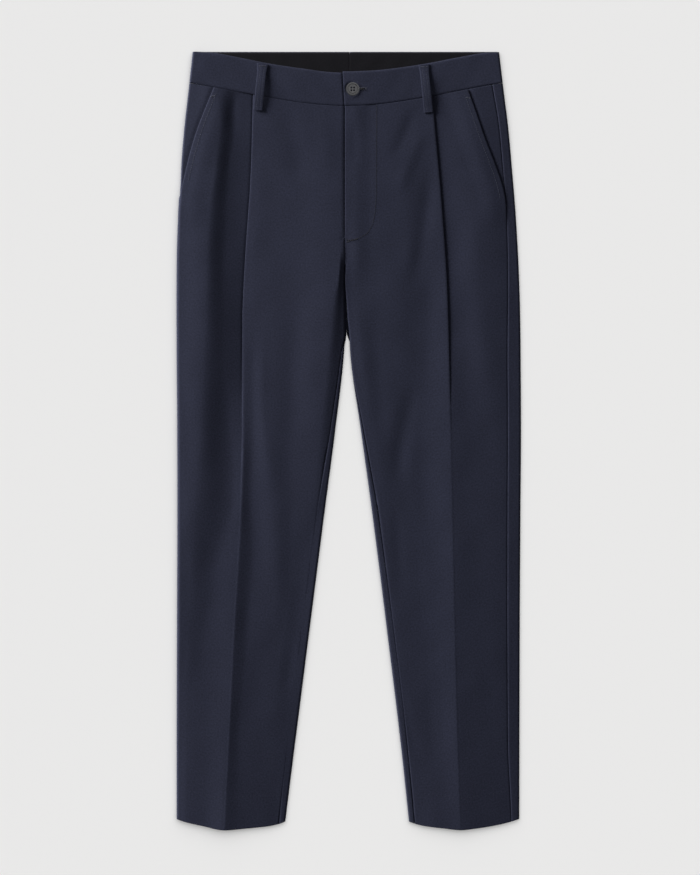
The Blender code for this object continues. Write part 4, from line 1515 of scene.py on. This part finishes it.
@dataclass
class BeltLoops:
    """Five belt loops: two in front and three under the back.

    Places along a loop are shares of its length, and places across it are shares of half its width.
    """

    garment: Garment
    columns: tuple[float, ...] = (
        -1, -0.93, -0.84, -0.72, -0.56, -0.36, -0.12, 0.12, 0.36, 0.56, 0.72, 0.84, 0.93, 1,
    )
    row_spacing: float = 0.03
    end_steps: tuple[float, ...] = (0.006, 0.014, 0.026)
    flare_ends: float = 0.18
    rises_over: Place = (0.45, 0.8)
    roundness: float = 0.35
    stitched_at: float = 0.42
    stitch_groove: Place = (0.18, 0.12)
    loops: tuple[Loop, ...] = (
        Loop("belt_loop_front_right", -116.4, 17.0, -122.7, 79.7, 7.95, 0.9, 2.4, 1.4),
        Loop("belt_loop_front_left", 101.0, 18.0, 107.5, 82.7, 7.95, 0.9, 2.0, 1.0),
        Loop("belt_loop_back_right", -112.0, 3.0, -112.0, 80.0, 0.6, 0.0, 0.0),
        Loop("belt_loop_back_left", 106.0, 3.0, 106.0, 80.0, 0.6, 0.0, 0.0),
        Loop("belt_loop_back_centre", CENTRE_BACK_X, 3.0, CENTRE_BACK_X, 80.0, 0.6, 0.0, 0.0),
    )

    def cloth(self, loop: Loop) -> ClothGrid:
        """Makes a loop's cloth: a strip with rolled edges and a groove under each stitch row.

        Args:
            loop: the loop's place and form.

        Returns:
            Its points.
        """
        across = np.array(self.columns)
        share = spaced(0.0, 1.0, self.row_spacing, self.end_steps)[:, None]
        width = LOOP_WIDTH / 2 + loop.flare * (1 - ease(share, 0.0, self.flare_ends))
        run = np.array([loop.x_bottom - loop.x_top, loop.down_bottom - loop.down_top])
        length = float(np.hypot(*run))
        x = mix(loop.x_top, loop.x_bottom, share) + across * width * run[1] / length
        down = mix(loop.down_top, loop.down_bottom, share) - across * width * run[0] / length
        height = loop.base + loop.rise * ease(share, *self.rises_over) + 0 * x
        if loop.arch:
            height = height + loop.arch * np.sin(math.pi * share) ** 2
            height = height + self.roundness * (1 - np.abs(across) ** 3)
            height = height - ridge(np.abs(across) - self.stitched_at, self.stitch_groove)
        return ClothGrid(f"{loop.name}_cloth", x, down, height, LOOP_WALL)

    def build(self) -> None:
        """Lays the loops in place of their solids."""
        for loop in self.loops:
            on = ["waistband_right_cloth" if loop.x_top < 0 else "waistband_left_cloth"]
            self.garment.lay(self.cloth(loop), loop.name, TWILL, on if loop.arch else [])


@dataclass
class Stitching:
    """Rows of sewn stitches that lie on cloth, gathered into one piece."""

    name: str
    garment: Garment
    finish: HardFinish
    cloths: tuple[str, ...]
    length: float = 2.5
    gap: float = 0.8
    thickness: float = 0.5
    sunk: float = 0.06
    pressed_share: float = 0.2
    flatness: float = 0.7
    tack_thickness: float = 0.45
    rows: bmesh.types.BMesh = field(default_factory=bmesh.new)
    surfaces: list[BVHTree] = field(default_factory=list)

    def __post_init__(self) -> None:
        """Finds the surfaces to sew on."""
        self.surfaces = self.garment.surface(*self.cloths)

    def drop(self, x: float, down: float) -> tuple[Vector, Vector] | None:
        """Finds the highest cloth at a place.

        Args:
            x: the place's X.
            down: its distance down the garment.

        Returns:
            The cloth's point and normal there, or None where there is none.
        """
        above = Vector((x * MM, (LENGTH / 2 - down) * MM, 0.1))
        hits = [surface.ray_cast(above, Vector((0, 0, -1))) for surface in self.surfaces]
        found = [hit for hit in hits if hit[0] is not None]
        if not found:
            return None
        best = max(found, key=lambda hit: hit[0].z)
        return best[0], best[1]

    def stitch(self, start: Place, end: Place, thickness: float | None = None) -> None:
        """Sews one stitch between two places on the cloth.

        Args:
            start: X and distance down of its first end.
            end: the same of its other end.
            thickness: the thread's, where it isn't the row's own.
        """
        first, last = self.drop(*start), self.drop(*end)
        if first is None or last is None:
            return
        wide = thickness or self.thickness
        run = last[0] - first[0]
        normal = (first[1] + last[1]).normalized()
        rise = wide / 2 - self.sunk - wide * self.pressed_share
        middle = (first[0] + last[0]) / 2 + normal * rise * MM
        along = run.normalized()
        side = normal.cross(along).normalized()
        up = along.cross(side)
        turn = Matrix((along, side, up)).transposed().to_4x4()
        size = Matrix.Diagonal((run.length, wide * MM, wide * MM * self.flatness, 1.0))
        made = bmesh.ops.create_uvsphere(self.rows, u_segments=6, v_segments=4, radius=0.5)
        lying = Matrix.Rotation(math.pi / 2, 4, "Y")
        place = Matrix.Translation(middle) @ turn @ size @ lying
        bmesh.ops.transform(self.rows, matrix=place, verts=made["verts"])

    def sew(self, path: Sequence[Place]) -> None:
        """Sews an even row of stitches along a path.

        Args:
            path: X and distance down of each of its corners.
        """
        points = np.array(path, float)
        lengths = np.hypot(*np.diff(points, axis=0).T)
        run = np.concatenate([[0.0], np.cumsum(lengths)])
        pitch = self.length + self.gap
        for index in range(int(run[-1] // pitch)):
            ends = np.array([index * pitch, index * pitch + self.length])
            xs, downs = (np.interp(ends, run, points[:, axis]) for axis in (0, 1))
            self.stitch((xs[0], downs[0]), (xs[1], downs[1]))

    def bar_tack(self, start: Place, end: Place, width: float, count: int) -> None:
        """Sews a bar tack: close stitches across the line from start to end.

        Args:
            start: X and distance down of the line's first end.
            end: the same of its other end.
            width: the stitches' length.
            count: how many there are.
        """
        run = np.array(end) - np.array(start)
        across = np.array([-run[1], run[0]]) / math.hypot(*run) * width / 2
        for index in range(count):
            middle = np.array(start) + run * (index + 0.5) / count
            self.stitch(tuple(middle - across), tuple(middle + across), self.tack_thickness)

    def finish_rows(self) -> None:
        """Makes the gathered stitches one piece of the garment."""
        piece = make_object(self.name, self.rows)
        piece.data.shade_smooth()
        piece.data.materials.append(self.garment.material(self.finish))
        self.garment.keep(piece, self.finish)
        log.info("%s: %d faces", self.name, len(piece.data.polygons))


@dataclass
class Topstitching:
    """The visible sewing of the pockets, the fly, the hems and the belt loops."""

    garment: Garment
    loops: tuple[Loop, ...]
    pocket_inset: float = 6.8
    pocket_points: int = 24
    pocket_tack_insets: Place = (0.6, 6.3)
    pocket_tack_slant: Place = (1.0, -0.6)
    pocket_tack_width: float = 1.6
    pocket_tack_count: int = 12
    fly_line: tuple[Place, ...] = (
        (37.4, 73.0), (37.2, 120.0), (36.9, 196.0),
        (35.4, 217.0), (32.0, 233.5), (25.0, 245.5), (14.0, 252.0), (-1.5, 255.0),
    )
    fly_tack_lines: tuple[tuple[Place, ...], ...] = (
        ((-3.6, 254.2), (4.2, 255.2), (12.3, 252.9)),
        ((-3.4, 257.2), (3.6, 256.0)),
    )
    hem_height: float = 43.5
    hem_down: float = 1007.0
    hem_inner_inset: float = 16.0
    hem_outer_inset: float = 18.0
    hem_points: int = 30
    loop_row_offset: float = 2.4
    loop_row_insets: Place = (5.0, 2.0)
    loop_tack_down: float = 3.0
    loop_tack_reach: float = 4.6
    loop_tack_width: float = 1.3
    loop_tack_count: int = 22

    def pocket(self, leg: Leg, ends: Place, tack_down: float) -> None:
        """Sews the row beside a slant pocket's edge, and the bar tack at its top.

        Args:
            leg: the pocket's leg.
            ends: how far down the row starts and ends.
            tack_down: how far down the tack is.
        """
        cloth = f"front_{leg.name}_cloth"
        row = Stitching(f"pocket_stitching_{leg.name}", self.garment, THREAD, (cloth,))
        downs = np.linspace(*ends, self.pocket_points)
        arcs = leg.side_edge.read("arc", downs) + self.pocket_inset
        laterals = leg.round_outer_fold(downs, arcs)[0]
        row.sew([(leg.sign * lateral, down) for lateral, down in zip(laterals, downs)])
        tack_at = np.array([tack_down])
        edge = float(leg.round_outer_fold(tack_at, leg.side_edge.read("arc", tack_at))[0][0])
        tack_ends = [
            (leg.sign * (edge - inset), tack_down + slant)
            for inset, slant in zip(self.pocket_tack_insets, self.pocket_tack_slant)
        ]
        row.bar_tack(*tack_ends, self.pocket_tack_width, self.pocket_tack_count)
        row.finish_rows()

    def fly(self) -> None:
        """Sews the J of the fly, from the waistband's seam round to the crotch seam, and its tack,
        in near-black thread whose colour is painted shade of the stitch groove.
        """
        cloth = ("front_left_cloth",)
        row = Stitching("fly_stitching", self.garment, PAINTED_SHADE_THREAD, cloth, 2.3, 0.6, 0.55)
        row.sew(self.fly_line)
        row.finish_rows()
        tack = Stitching("fly_tack", self.garment, PAINTED_SHADE_THREAD, cloth, 2.6, 0.1, 1.0)
        for line in self.fly_tack_lines:
            tack.sew(line)
        tack.finish_rows()

    def hem(self, leg: Leg) -> None:
        """Sews the hem's blind stitches, which catch only a thread of the cloth.

        Args:
            leg: the hem's leg.
        """
        name, cloth = f"hem_stitching_{leg.name}", f"front_{leg.name}_cloth"
        row = Stitching(name, self.garment, THREAD, (cloth,), 0.9, 4.6, 0.35)
        at = np.array([self.hem_down])
        outer = leg.outer_edge(at)[0] - self.hem_outer_inset
        inner = leg.inner_edge(at)[0] + self.hem_inner_inset
        xs = np.linspace(leg.sign * outer, leg.sign * inner, self.hem_points)
        row.sew(list(zip(xs, leg.hem.read("down", xs) - self.hem_height)))
        row.finish_rows()

    def belt_loop(self, loop: Loop) -> None:
        """Sews two rows down a front loop, and the tack that holds its top.

        Args:
            loop: the loop.
        """
        name, cloth = f"{loop.name}_stitching", f"{loop.name}_cloth"
        row = Stitching(name, self.garment, THREAD, (cloth,), 1.7, 0.9, 0.36)
        lean = (loop.x_bottom - loop.x_top) / (loop.down_bottom - loop.down_top)
        above, below = self.loop_row_insets
        for offset in (-self.loop_row_offset, self.loop_row_offset):
            start = loop.x_top + offset + lean * above, loop.down_top + above
            end = loop.x_bottom + offset - lean * below, loop.down_bottom - below
            row.sew([start, end])
        middle = loop.x_top + lean * self.loop_tack_down
        tack_down = loop.down_top + self.loop_tack_down
        tack_ends = [
            (middle + reach, tack_down) for reach in (-self.loop_tack_reach, self.loop_tack_reach)
        ]
        row.bar_tack(*tack_ends, self.loop_tack_width, self.loop_tack_count)
        row.finish_rows()

    def build(self) -> None:
        """Sews everything that shows."""
        self.pocket(RIGHT_LEG, (56.0, 178.0), 60.5)
        self.pocket(LEFT_LEG, (58.0, 200.0), 62.5)
        self.fly()
        for leg in (RIGHT_LEG, LEFT_LEG):
            self.hem(leg)
        for loop in self.loops:
            if loop.arch:
                self.belt_loop(loop)


@dataclass
class WaistButton:
    """The four-hole button, its thread and the buttonhole beside it."""

    garment: Garment
    studio: "Studio"
    x: float = BUTTON_X
    down: float = BUTTON_DOWN
    radius: float = BUTTON_RADIUS
    thickness: float = 3.0
    hole_radius: float = 1.4
    hole_spacing: float = 2.6
    bottom: float = BAND_FRONT_HEIGHT + BAND_LAYER + BAND_WALL / 2 + SEAM_GAP
    profile: tuple[Place, ...] = (
        (0.0, 0.80), (0.50, 0.80), (0.53, 0.84), (0.56, 0.82), (0.61, 0.80), (0.65, 0.62),
        (0.71, 0.56), (0.77, 0.66), (0.80, 0.94), (0.86, 0.98), (0.91, 0.90), (0.96, 0.74),
        (1.0, 0.60), (0.98, 0.42), (0.93, 0.26), (0.82, 0.1), (0.68, 0.0), (0.0, 0.0),
    )
    sharp_degrees: float = 50.0
    thread_rise: float = 0.1
    thread_taper: float = 0.6
    buttonhole_above: float = 0.6
    buttonhole_end: float = 23.0
    lips_x: Place = (9.4, 22.2)
    lip_pitch: float = 0.55
    lip_inset: float = 0.95
    lip_width: float = 1.4
    bar_reach: Place = (1.1, 1.7)
    bar_width: float = 1.0
    bar_count: int = 9
    # Ends and width of the near-black strip laid in the slit as painted shade of its opening.
    slit_shade_x: Place = (8.4, 21.8)
    slit_shade_width: float = 2.1

    def holes(self) -> list[Vector]:
        """Places of the four holes about the button's middle, in metres.

        Returns:
            The holes' middles.
        """
        turns = [math.pi / 4 + index * math.pi / 2 for index in range(4)]
        reach = self.hole_spacing * MM
        return [Vector((math.cos(turn), math.sin(turn), 0)) * reach for turn in turns]

    def disc(self) -> bpy.types.Object:
        """Turns the disc and cuts its four holes.

        Returns:
            The disc in its place.
        """
        shape = bmesh.new()
        across, up = self.radius * MM, self.thickness * MM
        verts = [shape.verts.new((out * across, 0.0, height * up)) for out, height in self.profile]
        edges = [shape.edges.new(pair) for pair in zip(verts, verts[1:])]
        bmesh.ops.spin(
            shape, geom=verts + edges, cent=(0, 0, 0), axis=(0, 0, 1), angle=math.tau, steps=56,
            use_merge=True, use_duplicate=False,
        )
        bmesh.ops.remove_doubles(shape, verts=shape.verts, dist=1e-6)
        bmesh.ops.recalc_face_normals(shape, faces=shape.faces)
        disc = make_object("button_disc", shape)
        cutters = bmesh.new()
        for hole in self.holes():
            bmesh.ops.create_cone(
                cutters, cap_ends=True, segments=16, radius1=self.hole_radius * MM,
                radius2=self.hole_radius * MM, depth=self.thickness * 4 * MM,
                matrix=Matrix.Translation(hole),
            )
        cutter = make_object("button_holes", cutters)
        cut = disc.modifiers.new("holes", "BOOLEAN")
        cut.object = cutter
        graph = bpy.context.evaluated_depsgraph_get()
        mesh = bpy.data.meshes.new_from_object(disc.evaluated_get(graph))
        disc.modifiers.clear()
        disc.data = mesh
        bpy.data.objects.remove(cutter, do_unlink=True)
        centre = Vector((self.x, LENGTH / 2 - self.down, self.bottom)) * MM
        mesh.transform(Matrix.Translation(centre))
        mesh.shade_smooth()
        mesh.set_sharp_from_angle(angle=math.radians(self.sharp_degrees))
        mesh.materials.clear()
        mesh.materials.append(self.garment.material(BUTTON_PLASTIC))
        return disc

    def thread(self) -> bpy.types.Object:
        """Brings thread up through each hole from the cloth; it ends below the rims. Its near-black
        colour is painted shade that darkens the holes.

        Returns:
            The thread.
        """
        shape = bmesh.new()
        rise = self.thickness * self.thread_rise
        height = self.bottom - SEAM_GAP + rise / 2
        middle = Vector((self.x, LENGTH / 2 - self.down, height)) * MM
        radius = (self.hole_radius - SEAM_GAP / 2) * MM
        for hole in self.holes():
            bmesh.ops.create_cone(
                shape, cap_ends=True, segments=12, radius1=radius,
                radius2=radius * self.thread_taper, depth=(rise + SEAM_GAP) * MM,
                matrix=Matrix.Translation(middle + hole),
            )
        piece = make_object("button_thread", shape)
        piece.data.shade_smooth()
        piece.data.materials.append(self.garment.material(PAINTED_SHADE_THREAD))
        return piece

    def buttonhole(self) -> None:
        """Works the slit: near-black thread in the opening as its painted shade, close stitches
        along both lips and a bar at its end.
        """
        cloth = ("waistband_left_cloth",)
        lips = Stitching("buttonhole_stitching", self.garment, THREAD, cloth)
        middle, end = self.down - self.buttonhole_above, self.buttonhole_end
        for lip in (-1, 1):
            near = middle + lip * self.lip_inset
            for place in np.arange(*self.lips_x, self.lip_pitch):
                lips.stitch((place, near), (place, near + lip * self.lip_width))
        for lean in (-1, 1):
            bar = [
                (end + way * self.bar_reach[0], middle + way * lean * self.bar_reach[1])
                for way in (-1, 1)
            ]
            lips.bar_tack(*bar, self.bar_width, self.bar_count)
        lips.finish_rows()
        # A near-black strip of thread in the slit: painted shade of its opening.
        slit = Stitching("buttonhole_slit", self.garment, PAINTED_SHADE_THREAD, cloth, sunk=0.2)
        slit.stitch(*((place, middle) for place in self.slit_shade_x), self.slit_shade_width)
        slit.finish_rows()

    def build(self) -> None:
        """Puts the button in place of its solid and works the buttonhole."""
        disc, thread = self.disc(), self.thread()
        self.garment.keep(disc, BUTTON_PLASTIC)
        self.garment.keep(thread, PAINTED_SHADE_THREAD)
        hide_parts("button")
        self.studio.light_from_above(disc, thread)
        log.info("button_disc: %d faces, with its thread", len(disc.data.polygons))
        self.buttonhole()


def dress_zip(garment: Garment) -> None:
    """Gives the zip, which the fly covers, its woven tape.

    Args:
        garment: the garment, which keeps the tape's material.
    """
    zip_node = frame["nodes"]["fly_zip"]
    zip_node.data.materials.clear()
    zip_node.data.materials.append(garment.material(ZIP_TAPE))


@dataclass
class Studio:
    """The pale table, the soft lights and the camera above the garment.

    Its sizes are metres, its angles degrees, the key's power watts and the lens millimetres.
    """

    table: bpy.types.Object | None = None
    key: bpy.types.Object | None = None
    overhead: bpy.types.Object | None = None
    view_height: float = 1.18125
    lens: float = 100.0
    sensor: float = 36.0
    centre: Place = (0.0015, 0.0045)
    subject_height: float = 0.006
    floor_size: float = 12.0
    floor_colour: tuple[float, float, float] = (0.86, 0.857, 0.853)
    key_power: float = 1000.0
    key_elevation: float = 10.0
    key_azimuth: float = 150.0
    key_distance: float = 5.0
    key_size: float = 3.25
    table_strength: float = 2.71
    table_spread: float = 110.0
    table_lean: float = 30.0
    ambient: float = 0.2

    def floor(self) -> None:
        """A plain pale table top."""
        shape = bmesh.new()
        bmesh.ops.create_grid(shape, x_segments=1, y_segments=1, size=self.floor_size / 2)
        table = make_object("table_top", shape)
        bench = Bench("pale_table", 1.0)
        bench.shader.inputs["Base Color"].default_value = (*self.floor_colour, 1.0)
        bench.shader.inputs["Specular IOR Level"].default_value = 0.0
        table.data.materials.append(bench.material)
        self.table = table

    @staticmethod
    def _lamp(name: str, light: bpy.types.Light, towards: Vector) -> bpy.types.Object:
        """Adds a light, with a collection of what it treats apart.

        Args:
            name: the light's name.
            light: its data.
            towards: the way from the garment to the light.

        Returns:
            The light's object.
        """
        lamp = add_object(name, light)
        lamp.rotation_euler = towards.to_track_quat("Z", "Y").to_euler()
        lamp.light_linking.receiver_collection = bpy.data.collections.new(f"apart_for_{name}")
        return lamp

    def light_from_above(self, *things: bpy.types.Object) -> None:
        """Gives things the even light from above in place of the low key.

        Args:
            things: the objects to light so.
        """
        for lamp, state in ((self.key, "EXCLUDE"), (self.overhead, "INCLUDE")):
            apart = lamp.light_linking.receiver_collection
            for thing in things:
                apart.objects.link(thing)
                apart.collection_objects[len(apart.objects) - 1].light_linking.link_state = state

    def lights(self) -> None:
        """Adds a low soft key from the waist and the wearer's right, and an even surround."""
        light = bpy.data.lights.new("key", "AREA")
        light.shape = "DISK"
        light.size = self.key_size
        light.energy = self.key_power
        azimuth, elevation = math.radians(self.key_azimuth), math.radians(self.key_elevation)
        level = math.cos(elevation)
        towards = Vector((math.cos(azimuth) * level, math.sin(azimuth) * level, math.sin(elevation)))
        self.key = self._lamp("key", light, towards)
        self.key.location = towards * self.key_distance
        self.key.light_linking.blocker_collection = self.key.light_linking.receiver_collection
        overhead = bpy.data.lights.new("overhead", "SUN")
        overhead.energy = self.table_strength
        overhead.angle = math.radians(self.table_spread)
        lean = math.radians(self.table_lean)
        straight = Vector((0.0, math.sin(lean), math.cos(lean)))
        self.overhead = self._lamp("overhead", overhead, straight)
        self.light_from_above(self.table)
        world = bpy.data.worlds.new("surround")
        world.use_nodes = True
        background = world.node_tree.nodes["Background"]
        background.inputs["Color"].default_value = (1.0, 1.0, 1.0, 1.0)
        background.inputs["Strength"].default_value = self.ambient
        bpy.context.scene.world = world

    def camera(self) -> None:
        """Looks straight down through a long lens, with the waist at the top of the view."""
        data = bpy.data.cameras.new("camera")
        data.lens = self.lens
        data.sensor_width = self.sensor
        camera = add_object("camera", data)
        distance = self.view_height * self.lens / self.sensor
        camera.location = (*self.centre, distance + self.subject_height)
        bpy.context.scene.camera = camera
        bpy.context.scene.view_settings.view_transform = "Standard"

    def build(self) -> None:
        """Sets up the studio."""
        self.floor()
        self.lights()
        self.camera()


def main() -> None:
    """Builds the studio and every piece in the order in which they lie."""
    logging.basicConfig(level=logging.INFO, format="%(name)s: %(message)s")
    garment, studio = Garment(), Studio()
    studio.build()
    for leg in (RIGHT_LEG, LEFT_LEG):
        LegPanels(leg, garment).build()
    Waistband(garment).build()
    loops = BeltLoops(garment)
    loops.build()
    Topstitching(garment, loops.loops).build()
    WaistButton(garment, studio).build()
    dress_zip(garment)


if __name__ == "__main__":
    main()
